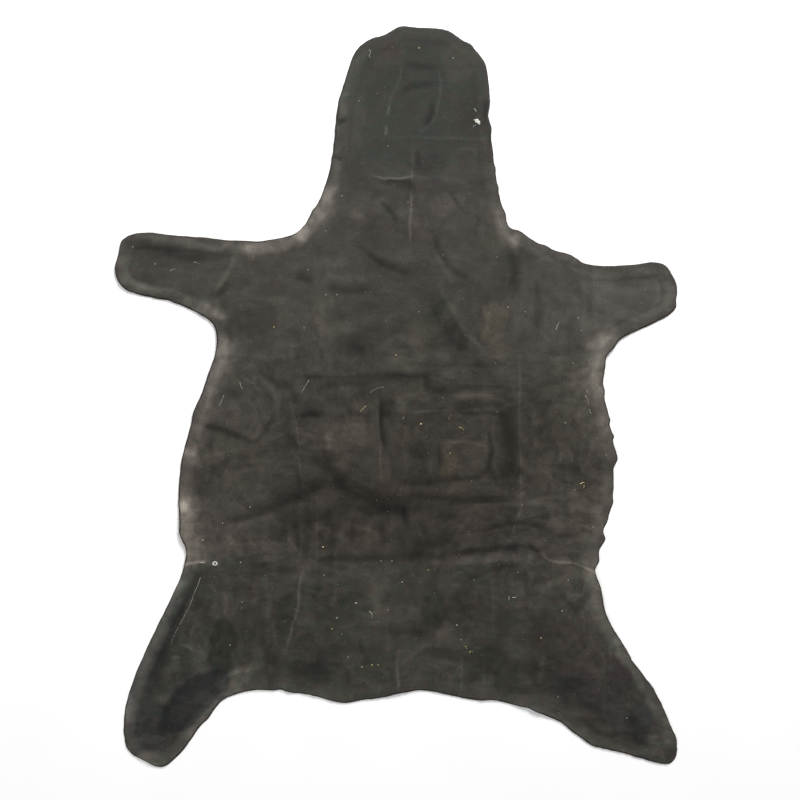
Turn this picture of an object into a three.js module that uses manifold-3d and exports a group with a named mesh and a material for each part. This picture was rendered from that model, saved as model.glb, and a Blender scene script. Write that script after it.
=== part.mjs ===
// A zebra skin rug, lying hair side down with its felt lining up.
// Millimetres, +Z up, the head end towards +Y. The origin is on the floor, in the
// middle of the rug's footprint.
import * as THREE from "three";
import { mergeVertices } from "three/addons/utils/BufferGeometryUtils.js";
import Module from "manifold-3d";

const wasm = await Module();
wasm.setup();

// Thicknesses, from the floor up
const HAIR_AND_SKIN = 3.6; // short hair pressed flat, and the tanned skin
const SEWN_GAP = 0.3; // between the skin and the lining
const FELT = 1.6; // one layer of lining felt
const HEM_LAYERS = 2; // the felt is turned under along its edge

// Distances in from the edge of the skin
const LINING_SET_BACK = 4;
const HEM_WIDTH = 36;

// The sheet's mesh
const GRID = 46; // the side of one grid square on the sheet's faces
const STEPS_PER_POINT = 2; // straight pieces of the edge between two outline points
const CUT_REACH = 100; // how far the cutting prisms pass the sheet above and below
const HEM_SMOOTHING = 5; // outline steps averaged to each side for the hem's inner line
const NEARNESS = 0.985; // the share of an inset that a moved point must keep

// The edge of the skin, anticlockwise from the crown, [x, y] in each row
const EDGE = {
  crown: [
    [27, 1113], [0, 1107], [-33, 1086], [-72, 1077], [-111, 1050], [-135, 1008],
  ],
  leftNeck: [
    [-153, 945], [-171, 894], [-180, 825], [-189, 735], [-204, 660], [-228, 591],
    [-249, 552], [-264, 531], [-273, 510], [-315, 483], [-357, 475], [-414, 466],
  ],
  leftForeleg: [
    [-498, 468], [-573, 478], [-663, 483], [-738, 493], [-810, 483], [-826, 465],
    [-831, 429], [-843, 387], [-837, 354], [-807, 320], [-723, 297], [-642, 275],
    [-588, 248], [-549, 222], [-536, 168], [-546, 108],
  ],
  leftFlank: [
    [-588, -3], [-618, -99], [-644, -192], [-652, -294], [-648, -369], [-641, -429],
    [-629, -453], [-632, -498],
  ],
  leftHindLeg: [
    [-654, -561], [-708, -672], [-759, -780], [-798, -879], [-816, -963],
    [-813, -1038], [-795, -1071], [-753, -1092], [-717, -1110], [-675, -1094],
    [-627, -1043], [-588, -986], [-564, -965], [-528, -914],
  ],
  rump: [
    [-480, -891], [-414, -878], [-363, -881], [-348, -876], [-327, -885],
    [-258, -893], [-192, -912], [-147, -918], [-102, -909], [-30, -900], [21, -885],
    [72, -879], [162, -894], [237, -910], [303, -911], [363, -926], [414, -942],
    [498, -977], [540, -1014], [588, -1047],
  ],
  rightHindLeg: [
    [672, -1065], [762, -1092], [819, -1102], [840, -1083], [842, -1035],
    [816, -969], [774, -878], [708, -792], [690, -756], [651, -696], [626, -639],
    [614, -573], [594, -515],
  ],
  rightFlank: [
    [606, -495], [608, -459], [626, -432], [621, -399], [642, -342], [651, -300],
    [652, -249], [652, -210], [662, -180], [650, -135], [650, -114], [639, -84],
    [639, -63], [626, -9], [619, 42], [627, 90], [629, 123], [648, 143], [666, 171],
  ],
  rightForeleg: [
    [732, 204], [822, 249], [837, 279], [842, 333], [825, 369], [810, 395],
    [777, 404], [717, 397], [612, 393], [561, 402], [522, 428], [468, 441],
    [402, 474], [372, 498], [342, 504], [332, 522],
  ],
  rightNeck: [
    [315, 582], [300, 651], [290, 741], [276, 846], [282, 882], [275, 966],
    [267, 1002], [234, 1046], [198, 1070], [162, 1097], [120, 1104], [57, 1107],
  ],
};

// Folds that stand up off the floor: a line of [x, y] points, the height of its
// crest and the distance from the crest to the fold's foot
const FOLDS = [
  { name: "chest", line: [[96, 400], [132, 321], [258, 120]], height: 12, foot: 75 },
  { name: "breast", line: [[60, 520], [147, 380], [228, 330]], height: 7, foot: 60 },
  { name: "neck cross", line: [[-60, 660], [45, 655]], height: 8, foot: 55 },
  { name: "left shoulder", line: [[-453, 95], [-393, 62], [-290, -30]], height: 9, foot: 65 },
  { name: "left flank", line: [[-600, -60], [-430, -95], [-350, -30]], height: 9, foot: 60 },
  { name: "left belly", line: [[-520, -410], [-423, -372], [-230, -300]], height: 11, foot: 75 },
  { name: "belly", line: [[-290, -165], [-130, -240], [20, -300]], height: 9, foot: 80 },
  { name: "belly cross", line: [[20, -300], [372, -294]], height: 6, foot: 60 },
  { name: "left hip", line: [[-632, -498], [-400, -508]], height: 7, foot: 60 },
  { name: "right hip", line: [[170, -480], [400, -482], [597, -520]], height: 11, foot: 65 },
  { name: "left hock", line: [[-590, -545], [-723, -864]], height: 6, foot: 55 },
  { name: "left thigh", line: [[-273, -534], [-333, -774]], height: 6, foot: 60 },
  { name: "rump", line: [[6, -760], [12, -890]], height: 6, foot: 55 },
  { name: "right thigh", line: [[440, -850], [420, -945]], height: 8, foot: 60 },
  { name: "right side", line: [[372, 291], [380, 0], [372, -294]], height: 6, foot: 65 },
  { name: "left elbow", line: [[-480, 410], [-540, 290]], height: 7, foot: 60 },
  { name: "head left", line: [[12, 1011], [-24, 921], [-33, 786]], height: 5, foot: 55 },
  { name: "head right", line: [[123, 981], [132, 861], [108, 801]], height: 5, foot: 55 },
];

// Places where the sheet swells or its rim curls off the floor: the middle, the two
// radii and the height
const SWELLS = [
  { name: "left neck rim", x: -262, y: 545, rx: 130, ry: 150, height: 9 },
  { name: "right neck rim", x: 345, y: 510, rx: 110, ry: 120, height: 8 },
  { name: "left armpit rim", x: -555, y: 120, rx: 100, ry: 150, height: 10 },
  { name: "right armpit rim", x: 630, y: 110, rx: 110, ry: 170, height: 12 },
  { name: "left flank rim", x: -655, y: -400, rx: 100, ry: 160, height: 10 },
  { name: "right flank rim", x: 660, y: -180, rx: 90, ry: 170, height: 8 },
  { name: "right hip rim", x: 630, y: -610, rx: 100, ry: 130, height: 8 },
  { name: "left paw rim", x: -845, y: 400, rx: 110, ry: 110, height: 6 },
  { name: "right paw rim", x: 850, y: 330, rx: 110, ry: 100, height: 6 },
  { name: "right thigh swell", x: 327, y: -620, rx: 170, ry: 100, height: 8 },
  { name: "left flank swell", x: -430, y: -230, rx: 130, ry: 120, height: 6 },
  { name: "right flank swell", x: 520, y: -120, rx: 100, ry: 200, height: 5 },
  { name: "withers swell", x: -250, y: 300, rx: 170, ry: 120, height: 5 },
];

// The share of a fold's or swell's height at a distance of 0 to 1 from its middle
function bell(distance) {
  return distance < 1 ? Math.cos((distance * Math.PI) / 2) ** 2 : 0;
}

function distanceToLine(x, y, line) {
  let nearest = Infinity;
  for (let i = 1; i < line.length; i++) {
    const [ax, ay] = line[i - 1];
    const [bx, by] = line[i];
    const length2 = (bx - ax) ** 2 + (by - ay) ** 2;
    const along = ((x - ax) * (bx - ax) + (y - ay) * (by - ay)) / length2;
    const t = THREE.MathUtils.clamp(along, 0, 1);
    const away = Math.hypot(x - ax - t * (bx - ax), y - ay - t * (by - ay));
    nearest = Math.min(nearest, away);
  }
  return nearest;
}

// How high the sheet stands off the floor at a place
function lift(x, y) {
  const folds = FOLDS.map((f) => f.height * bell(distanceToLine(x, y, f.line) / f.foot));
  const swells = SWELLS.map((s) => s.height * bell(Math.hypot((x - s.x) / s.rx, (y - s.y) / s.ry)));
  return Math.max(...folds) + Math.max(...swells);
}

// The edge of the skin as a closed run of points, centred on the origin
function skinEdge() {
  const points = Object.values(EDGE).flat().map(([x, y]) => new THREE.Vector3(x, y, 0));
  const curve = new THREE.CatmullRomCurve3(points, true, "centripetal");
  const run = curve.getPoints(points.length * STEPS_PER_POINT).slice(0, -1);
  return run.map((p) => new THREE.Vector2(p.x, p.y));
}

// Each point of a closed run averaged with its neighbours
function smoothed(run, reach) {
  return run.map((_, i) => {
    const sum = new THREE.Vector2();
    for (let k = -reach; k <= reach; k++) sum.add(run.at((i + k + run.length) % run.length));
    return sum.divideScalar(2 * reach + 1);
  });
}

// A closed anticlockwise run moved inwards by a distance. A point that lands nearer
// to another part of the run, at a tight corner, is left out.
function inset(run, distance) {
  const moved = run.map((p, i) => {
    const before = run.at(i - 1);
    const after = run[(i + 1) % run.length];
    const along = after.clone().sub(before).normalize();
    return new THREE.Vector2(p.x - along.y * distance, p.y + along.x * distance);
  });
  const closed = [...run, run[0]].map((p) => [p.x, p.y]);
  return moved.filter((p) => distanceToLine(p.x, p.y, closed) > distance * NEARNESS);
}

function solidFrom(geometry) {
  const bare = geometry.clone();
  bare.deleteAttribute("normal");
  bare.deleteAttribute("uv");
  const merged = mergeVertices(bare);
  return new wasm.Manifold(
    new wasm.Mesh({
      numProp: 3,
      vertProperties: merged.attributes.position.array,
      triVerts: new Uint32Array(merged.index.array),
    }),
  );
}

function geometryFrom(solid) {
  const { vertProperties, triVerts } = solid.getMesh();
  const geometry = new THREE.BufferGeometry();
  geometry.setAttribute("position", new THREE.BufferAttribute(vertProperties, 3));
  geometry.setIndex(new THREE.BufferAttribute(triVerts, 1));
  geometry.computeVertexNormals();
  return geometry;
}

// A tall prism on a closed run of points, which cuts a sheet to shape
function prism(run) {
  const shape = new THREE.Shape(run);
  const geometry = new THREE.ExtrudeGeometry(shape, { depth: 2 * CUT_REACH, bevelEnabled: false });
  return solidFrom(geometry.translate(0, 0, -CUT_REACH));
}

// A layer that follows the folds, from one height above the floor side to another.
// Both faces have the same squares, so layers on each other stay parallel.
function layer(box, low, high) {
  const size = box.getSize(new THREE.Vector2());
  const middle = box.getCenter(new THREE.Vector2());
  const squares = [Math.ceil(size.x / GRID), Math.ceil(size.y / GRID)];
  const plane = new THREE.PlaneGeometry(size.x, size.y, ...squares).translate(middle.x, middle.y, 0);
  const { position } = plane.attributes;
  const count = position.count;
  const points = new Float32Array(count * 6);
  for (let i = 0; i < count; i++) {
    const [x, y] = [position.getX(i), position.getY(i)];
    points.set([x, y, lift(x, y) + high], i * 3);
    points.set([x, y, lift(x, y) + low], (count + i) * 3);
  }
  const faces = [...plane.index.array];
  for (let i = 0; i < plane.index.count; i += 3) {
    const [a, b, c] = plane.index.array.subarray(i, i + 3);
    faces.push(count + a, count + c, count + b);
  }
  const rim = rimOf(...squares);
  rim.forEach((a, i) => {
    const b = rim[(i + 1) % rim.length];
    faces.push(a, count + a, b, b, count + a, count + b);
  });
  const geometry = new THREE.BufferGeometry();
  geometry.setAttribute("position", new THREE.BufferAttribute(points, 3));
  geometry.setIndex(faces);
  return solidFrom(geometry);
}

// The points round a plane's edge, anticlockwise seen from above
function rimOf(across, down) {
  const at = (column, row) => row * (across + 1) + column;
  const rim = [];
  for (let row = 0; row < down; row++) rim.push(at(0, row));
  for (let column = 0; column < across; column++) rim.push(at(column, down));
  for (let row = down; row > 0; row--) rim.push(at(across, row));
  for (let column = across; column > 0; column--) rim.push(at(column, 0));
  return rim;
}

// The skin with its hair: one sheet cut to the edge
function hide(edge, box) {
  return layer(box, 0, HAIR_AND_SKIN).intersect(prism(edge));
}

// The felt lining: one sheet, twice as thick where it is turned under at the hem
function lining(edge, box) {
  const under = HAIR_AND_SKIN + SEWN_GAP;
  const liningEdge = inset(edge, LINING_SET_BACK);
  const hemLine = inset(smoothed(edge, HEM_SMOOTHING), LINING_SET_BACK + HEM_WIDTH);
  const whole = layer(box, under, under + FELT * HEM_LAYERS).intersect(prism(liningEdge));
  const aboveField = layer(box, under + FELT, under + CUT_REACH).intersect(prism(hemLine));
  return whole.subtract(aboveField);
}

function sheet(name, solid, colour, roughness) {
  const material = new THREE.MeshStandardMaterial({ color: colour, roughness, metalness: 0 });
  const mesh = new THREE.Mesh(geometryFrom(solid), material);
  mesh.name = name;
  return mesh;
}

const edge = skinEdge();
const footprint = new THREE.Box2().setFromPoints(edge);
const gridBox = footprint.clone().expandByScalar(GRID / 2);

const rug = new THREE.Group();
rug.add(sheet("hide", hide(edge, gridBox), 0xcfc5b2, 0.8));
rug.add(sheet("lining", lining(edge, gridBox), 0x45423e, 0.95));
const middle = footprint.getCenter(new THREE.Vector2());
rug.position.set(-middle.x, -middle.y, 0);

export default rug;
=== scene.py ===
# %% [markdown]
# # A zebra skin rug, lying on its hair
#
# The rug lies hair side down, so the camera sees its felt lining. The CAD model gives
# its outline, its thickness and its large folds. This script makes the two sheets again
# with many more points, adds the fine wrinkles, and gives each sheet its finish: brushed
# felt with storage creases, dust and lint above, and short striped hair below.

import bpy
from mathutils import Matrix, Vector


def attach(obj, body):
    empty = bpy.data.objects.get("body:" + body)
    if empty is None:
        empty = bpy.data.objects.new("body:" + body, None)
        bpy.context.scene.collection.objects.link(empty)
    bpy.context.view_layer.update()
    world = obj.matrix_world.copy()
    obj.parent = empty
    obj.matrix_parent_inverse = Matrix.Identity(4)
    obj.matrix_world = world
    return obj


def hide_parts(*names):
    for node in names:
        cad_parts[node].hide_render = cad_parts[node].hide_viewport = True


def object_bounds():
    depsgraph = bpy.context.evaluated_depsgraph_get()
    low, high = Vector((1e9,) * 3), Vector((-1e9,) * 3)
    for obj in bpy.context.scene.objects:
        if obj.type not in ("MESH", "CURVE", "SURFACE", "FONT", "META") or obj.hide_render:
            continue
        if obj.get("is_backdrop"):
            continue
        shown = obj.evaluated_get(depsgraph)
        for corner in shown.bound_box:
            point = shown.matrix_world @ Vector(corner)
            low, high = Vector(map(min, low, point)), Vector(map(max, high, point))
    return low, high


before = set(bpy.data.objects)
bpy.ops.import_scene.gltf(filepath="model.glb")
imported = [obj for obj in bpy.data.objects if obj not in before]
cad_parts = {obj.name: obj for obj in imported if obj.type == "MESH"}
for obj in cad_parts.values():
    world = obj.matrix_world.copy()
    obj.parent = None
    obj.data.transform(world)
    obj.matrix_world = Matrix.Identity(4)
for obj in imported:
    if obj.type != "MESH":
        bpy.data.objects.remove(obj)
cad_low, cad_high = (list(corner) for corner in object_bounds())

import math

import bmesh
import bpy
import numpy as np
from mathutils import Vector
from mathutils.bvhtree import BVHTree
from mathutils.kdtree import KDTree

MM = 0.001
print("CAD box in metres:", [round(b - a, 4) for a, b in zip(cad_low, cad_high)])

# %% [markdown]
# ## Where things are
#
# The photograph looks straight down on the rug, and one of its pixels covers 3 mm. So a
# place that is read from the photograph becomes a place on the floor with one
# subtraction and one multiplication. Most tables below hold such pixels, because they
# are easy to compare with the picture.

# %% From photo pixels to metres
PIXEL = 3 * MM
PHOTO_MIDDLE = (396.2, 396.5)  # the pixel above the origin


def on_rug(pixels):
    """Photo pixels as x and y in metres."""
    away = np.array(pixels, float) - PHOTO_MIDDLE
    return away * (PIXEL, -PIXEL)


print("the crown of the head is at", on_rug((405, 26)).round(3))

# %% [markdown]
# ## The outline
#
# The edge of the skin is in the CAD node already, so it is read from there and not
# typed again. The CAD's mesh is loose triangles, so a copy is merged first. The edge is
# the line where its upper face meets its side wall. Spread at even steps, and averaged a
# little, it becomes a smooth run.

# %% A merged copy of a CAD node
def merged_copy(node):
    bm = bmesh.new()
    bm.from_mesh(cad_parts[node].data)
    bmesh.ops.remove_doubles(bm, verts=bm.verts, dist=0.02 * MM)
    bm.normal_update()
    return bm


# %% The run of the skin's edge
WALL_UP, TOP_UP = 0.3, 0.8  # a wall's normal points up by less, the upper face's by more


def is_edge_of_top(edge):
    """Whether the upper face meets the side wall here."""
    up = sorted(face.normal.z for face in edge.link_faces)
    return len(up) == 2 and abs(up[0]) < WALL_UP and up[1] > TOP_UP


def walk(edges):
    """The points of a closed line of edges, in order."""
    beside = {}
    for edge in edges:
        for vert in edge.verts:
            beside.setdefault(vert, []).append(edge.other_vert(vert))
    start = next(iter(beside))
    run, before = [start], None
    while True:
        here = run[-1]
        onward = [v for v in beside[here] if v is not before]
        before = here
        if onward[0] is start:
            return run
        run.append(onward[0])


def evenly(run, step):
    """A closed run's points again, at even steps."""
    closed = np.vstack([run, run[:1]])
    reach = np.concatenate([[0], np.cumsum(np.hypot(*np.diff(closed, axis=0).T))])
    places = np.arange(0, reach[-1], step)
    return np.stack([np.interp(places, reach, closed[:, k]) for k in (0, 1)], axis=1)


def averaged(run, reach):
    """Each point of a closed run averaged with its neighbours."""
    return np.mean([np.roll(run, k, axis=0) for k in range(-reach, reach + 1)], axis=0)


def area_of(run):
    """The area inside a closed run, which is below zero where the run goes clockwise."""
    x, y = run.T
    return np.sum(x * np.roll(y, -1) - y * np.roll(x, -1)) / 2


EDGE_STEP = 2 * MM
EDGE_SMOOTHING = 5  # steps on each side

hide_copy = merged_copy("hide")
corner_run = np.array([v.co.xy for v in walk([e for e in hide_copy.edges if is_edge_of_top(e)])])
smooth_edge = averaged(evenly(corner_run, EDGE_STEP), EDGE_SMOOTHING)
if area_of(smooth_edge) < 0:
    smooth_edge = smooth_edge[::-1]
print("edge of the skin:", round(len(smooth_edge) * EDGE_STEP, 2), "m round")

# %% [markdown]
# ## How high the floor side lies
#
# The CAD's folds are made of flat triangles, 46 mm across. Its height above the floor is
# measured with rays on an even lattice and then blurred, which leaves the same folds
# with no corners in them.

# %% Heights on a lattice
LATTICE = 12 * MM
HIDE_THICKNESS = 3.6 * MM
lattice_low = np.array(cad_low[:2]) - 3 * LATTICE
lattice_size = np.ceil((np.array(cad_high[:2]) + 3 * LATTICE - lattice_low) / LATTICE).astype(int) + 1
hide_tree = BVHTree.FromBMesh(hide_copy)


def ray_height(x, y):
    hit = hide_tree.ray_cast(Vector((x, y, 1)), Vector((0, 0, -1)))[0]
    return np.nan if hit is None else hit.z - HIDE_THICKNESS


def filled(heights):
    """Unknown heights take the mean of the known ones beside them, until all are known."""
    while np.isnan(heights).any():
        padded = np.pad(heights, 1, constant_values=np.nan)
        beside = [padded[1 + i : padded.shape[0] - 1 + i, 1 + j : padded.shape[1] - 1 + j]
                  for i, j in ((1, 0), (-1, 0), (0, 1), (0, -1))]
        known = np.sum(~np.isnan(beside), axis=0)
        mean = np.where(known > 0, np.nansum(beside, axis=0) / np.maximum(known, 1), np.nan)
        heights = np.where(np.isnan(heights), mean, heights)
    return heights


def blurred(heights, reach):
    kernel = np.exp(-0.5 * (np.arange(-3 * reach, 3 * reach + 1) / reach) ** 2)
    kernel /= kernel.sum()
    for axis in (0, 1):
        heights = np.apply_along_axis(
            lambda row: np.convolve(np.pad(row, 3 * reach, mode="edge"), kernel, "valid"), axis, heights)
    return heights


lattice = np.array([
    [ray_height(*(lattice_low + LATTICE * np.array((i, j)))) for j in range(lattice_size[1])]
    for i in range(lattice_size[0])
])
ground = blurred(filled(lattice), 1)
print("folds rise from", round(ground.min() / MM, 1), "to", round(ground.max() / MM, 1), "mm")


def between(values, places, low, cell):
    """Values of an even lattice at any places, smooth from cell to cell."""
    at = np.clip((places - low) / cell, 0, np.array(values.shape) - 1.001)
    i, j = at.astype(int).T
    u, v = (at - np.floor(at)).T
    u, v = u * u * (3 - 2 * u), v * v * (3 - 2 * v)
    one = values[i, j] * (1 - v) + values[i, j + 1] * v
    two = values[i + 1, j] * (1 - v) + values[i + 1, j + 1] * v
    return one * (1 - u) + two * u


def lift(places):
    """How high the underside lies at each place."""
    return between(ground, places, lattice_low, LATTICE)


# %% [markdown]
# ## A little disorder
#
# Nothing on an old skin is even. One helper gives soft random clouds of any size. Its
# numbers come from a fixed seed, so that the rug is the same in each run.

# %% Clouds
def cloud(places, size, seed):
    """Smooth random values from -1 to 1, in patches of about that size."""
    rng = np.random.default_rng(seed)
    low = np.array(cad_low[:2]) - 2 * size
    count = np.ceil((np.array(cad_high[:2]) - low) / size).astype(int) + 4
    return between(rng.uniform(-1, 1, count), places, low, size)


def soft_step(value):
    value = np.clip(value, 0, 1)
    return value * value * (3 - 2 * value)


def firm(values):
    """Soft random values with their middle passed over, as in patches with an edge."""
    return np.tanh(2.4 * values)


def crumpled(places, turns, lengths, seed):
    """Flat facets that meet in creases, as in cloth that was folded small: waves of straight
    lines, each with its own direction in degrees and its own length in mm."""
    total = np.zeros(len(places))
    for k, (turn, length) in enumerate(zip(turns, lengths)):
        c, s = math.cos(math.radians(turn)), math.sin(math.radians(turn))
        across = (places @ np.array([-s, c])) / (length * MM) + 0.9 * cloud(places, 230 * MM, seed + 3 * k)
        wave = 4 * np.abs(across - np.floor(across) - 0.5) - 1
        total += wave * length / 64 * np.clip(0.4 + 0.9 * cloud(places, 140 * MM, seed + 3 * k + 1), 0, 1)
    return total


def stirred(places, *stirs):
    """Places pushed about by clouds, which makes lines and patches drawn on them uneven. Each
    stir has how far it pushes and the size of its clouds, both in mm, and its seed."""
    for reach, size, seed in stirs:
        push = [cloud(places, size * MM, seed), cloud(places, size * MM, seed + 1)]
        places = places + reach * MM * np.stack(push, axis=1)
    return places


# %% [markdown]
# ## Bumps along the edge
#
# The skin was trimmed by hand with a knife, so its edge has small bumps and nicks. The
# larger ones are in a table. Each pushes the edge out, or in where it is below zero, and
# two clouds add a little more. This changes the CAD's outline by a few millimetres.

# %% The trimmed edge
BUMPS = [
    # x, y in photo pixels, how far out in mm, half length in mm
    (491, 128, 6.0, 18), (496, 168, 3.0, 10), (499, 187, 3.5, 10), (506, 214, 5.0, 14), (470, 45, 4.0, 14),
    (545, 247, 4.0, 18), (675, 307, 5.5, 14), (616, 346, 3.0, 12), (605, 391, 5.5, 12), (610, 420, 4.0, 8),
    (614, 436, 4.5, 7), (617, 460, 3.5, 14), (613, 503, 3.5, 12), (607, 522, 4.5, 18), (605, 539, 4.0, 9),
    (598, 561, 3.0, 14), (677, 738, 3.0, 16), (407, 693, 3.5, 20), (163, 767, 3.0, 20), (427, 28, 2.0, 60),
    (197, 412, 4.5, 34), (211, 374, 2.5, 30), (315, 212, 5.0, 12), (304, 228, 3.0, 10), (182, 531, 4.0, 20),
    (242, 241, 3.0, 40), (124, 236, -3.0, 10), (168, 302, -4.0, 24), (528, 708, -4.5, 18),
    (583, 740, -3.0, 22),
]


def across_edge(run):
    """The direction into the skin at each point of its edge."""
    along = np.roll(run, -2, axis=0) - np.roll(run, 2, axis=0)
    along /= np.hypot(*along.T)[:, None]
    return np.stack([-along[:, 1], along[:, 0]], axis=1)


out = 1.2 * MM + 0.8 * MM * cloud(smooth_edge, 22 * MM, 35)
out += 0.45 * MM * cloud(smooth_edge, 9 * MM, 36)
for x, y, far, half in BUMPS:
    away = np.hypot(*(smooth_edge - on_rug((x, y))).T)
    out += far * MM * np.exp(-((away / (half * MM)) ** 2))
skin_edge = averaged(smooth_edge - across_edge(smooth_edge) * out[:, None], 1)
print("bumps of", round(out.min() / MM, 1), "to", round(out.max() / MM, 1), "mm")

# %% [markdown]
# ## Cutting a sheet
#
# A sheet starts as an even grid, as cloth comes from the roll. Squares outside the
# outline are thrown away. The points on the ragged border slide onto a line just inside
# the outline, evenly spaced, and the rows beside them are smoothed. Then the border's
# edges are extruded outwards, which adds a narrow ring of faces that ends on the outline.
# Extruding the whole flat sheet closes it into a thin solid, whose wall then gets rows of
# points so that it can be rounded.

# %% Inside or outside
def is_inside(places, run):
    """Whether each place is inside a closed run, by counting the sides to its right."""
    inside = np.zeros(len(places), bool)
    coarse = run[::4]
    for (ax, ay), (bx, by) in zip(coarse, np.roll(coarse, -1, axis=0)):
        if ay == by:
            continue
        level = (places[:, 1] < ay) != (places[:, 1] < by)
        across = ax + (places[level, 1] - ay) * (bx - ax) / (by - ay)
        inside[level] ^= places[level, 0] < across
    return inside


def tree_of(run):
    tree = KDTree(len(run))
    for i, (x, y) in enumerate(run):
        tree.insert((x, y, 0), i)
    tree.balance()
    return tree


def nearest_on(tree, places):
    """The nearest point's number on a run, and its distance, for each place."""
    found = [tree.find((x, y, 0))[1:] for x, y in places]
    return np.array([i for i, _ in found]), np.array([d for _, d in found])


# %% The flat sheet
RIM_RING = 2.6 * MM  # the width of the ring of faces along the outline
SPREADINGS = 12  # how often the border's points move towards even steps
SOFT_ROWS = 3  # rows of points that give way to the border
SMOOTHINGS = 6


def point_on(run, place):
    """The point of a closed run at a place between two of its numbers."""
    at = int(np.floor(place))
    share = place - at
    x, y = run[at % len(run)] * (1 - share) + run[(at + 1) % len(run)] * share
    return (x, y, 0)


def slide_to(run, rim):
    """Moves a ring of border points onto a run at even steps, and says where each one is."""
    tree = tree_of(run)
    numbers, _ = nearest_on(tree, [v.co.xy for v in rim])
    count = len(run)
    steps = (np.diff(np.append(numbers, numbers[0])) + count // 2) % count - count // 2
    turns = round(steps.sum() / count)
    places = numbers[0] + np.concatenate([[0], np.cumsum(steps[:-1])])
    for _ in range(SPREADINGS):
        after = np.append(places[1:], places[0] + turns * count)
        before = np.append(places[-1] - turns * count, places[:-1])
        places = places / 2 + (before + after) / 4
    for vert, place in zip(rim, places):
        vert.co = point_on(run, place)
    return dict(zip(rim, places))


def triangulate_large(bm):
    """Splits the faces that have more than four corners."""
    bmesh.ops.triangulate(bm, faces=[f for f in bm.faces if len(f.verts) > 4])


def flat_sheet(run, spacing):
    """A flat sheet of squares cut to a run, with a narrow ring of faces along its border. The
    border has two edges for each side of a square that it runs along."""
    bm = bmesh.new()
    inner_run = averaged(run + across_edge(run) * RIM_RING, 2)
    half = (run.max(0) - run.min(0)) / 2 + spacing
    steps = np.ceil(2 * half / spacing).astype(int)
    bmesh.ops.create_grid(bm, x_segments=int(steps[0]), y_segments=int(steps[1]), size=1)
    bmesh.ops.scale(bm, vec=(*half, 1), verts=bm.verts)
    bmesh.ops.translate(bm, vec=(*(run.max(0) + run.min(0)) / 2, 0), verts=bm.verts)
    inside = is_inside(np.array([f.calc_center_median().xy for f in bm.faces]), inner_run)
    outside = [face for face, keep in zip(bm.faces, inside) if not keep]
    bmesh.ops.delete(bm, geom=outside, context="FACES")
    bmesh.ops.subdivide_edges(bm, edges=[e for e in bm.edges if e.is_boundary], cuts=1)
    rim = walk([e for e in bm.edges if e.is_boundary])
    place_of = slide_to(inner_run, rim)
    near, band = set(rim), set()
    for _ in range(SOFT_ROWS):
        near = {e.other_vert(v) for v in near for e in v.link_edges} - set(rim) - band
        band |= near
    band = sorted(band, key=lambda v: v.index)
    for _ in range(SMOOTHINGS):
        bmesh.ops.smooth_vert(bm, verts=band, factor=0.5, use_axis_x=True, use_axis_y=True)
    made = bmesh.ops.extrude_edge_only(bm, edges=[e for e in bm.edges if e.is_boundary])["geom"]
    for vert in [g for g in made if isinstance(g, bmesh.types.BMVert)]:
        root = next(e.other_vert(vert) for e in vert.link_edges if e.other_vert(vert) in place_of)
        vert.co = point_on(run, place_of[root])
    triangulate_large(bm)
    return bm


# %% [markdown]
# ## Lines on the felt
#
# Each wrinkle and crease is a row of a table: the line of photo pixels that it follows, its half width, its
# height (below zero for a valley) and its tone. A crest goes pale, with a tone over 1, partly from dust that
# it catches and partly as painted highlight, and a valley goes dark with painted shade. One row gives both
# the shape and the colour, so the two always agree. A wide valley has a steeper side towards the rump.

# %% The distance from a line
def from_line(places, line):
    """Each place's distance from a line of points, its share of the way along it, and how far
    it lies on the line's rump side."""
    steps = np.diff(line, axis=0)
    lengths = np.hypot(*steps.T)
    starts = np.concatenate([[0], np.cumsum(lengths)])
    distance = np.full(len(places), np.inf)
    share, behind = np.zeros((2, len(places)))
    for start, step, length, before in zip(line, steps, lengths, starts):
        t = np.clip((places - start) @ step / length**2, 0, 1)
        offset = places - start - t[:, None] * step
        away = np.hypot(*offset.T)
        nearer = away < distance
        distance[nearer] = away[nearer]
        share[nearer] = (before + t[nearer] * length) / starts[-1]
        behind[nearer] = -offset[nearer, 1]
    return distance, share, behind
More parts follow.
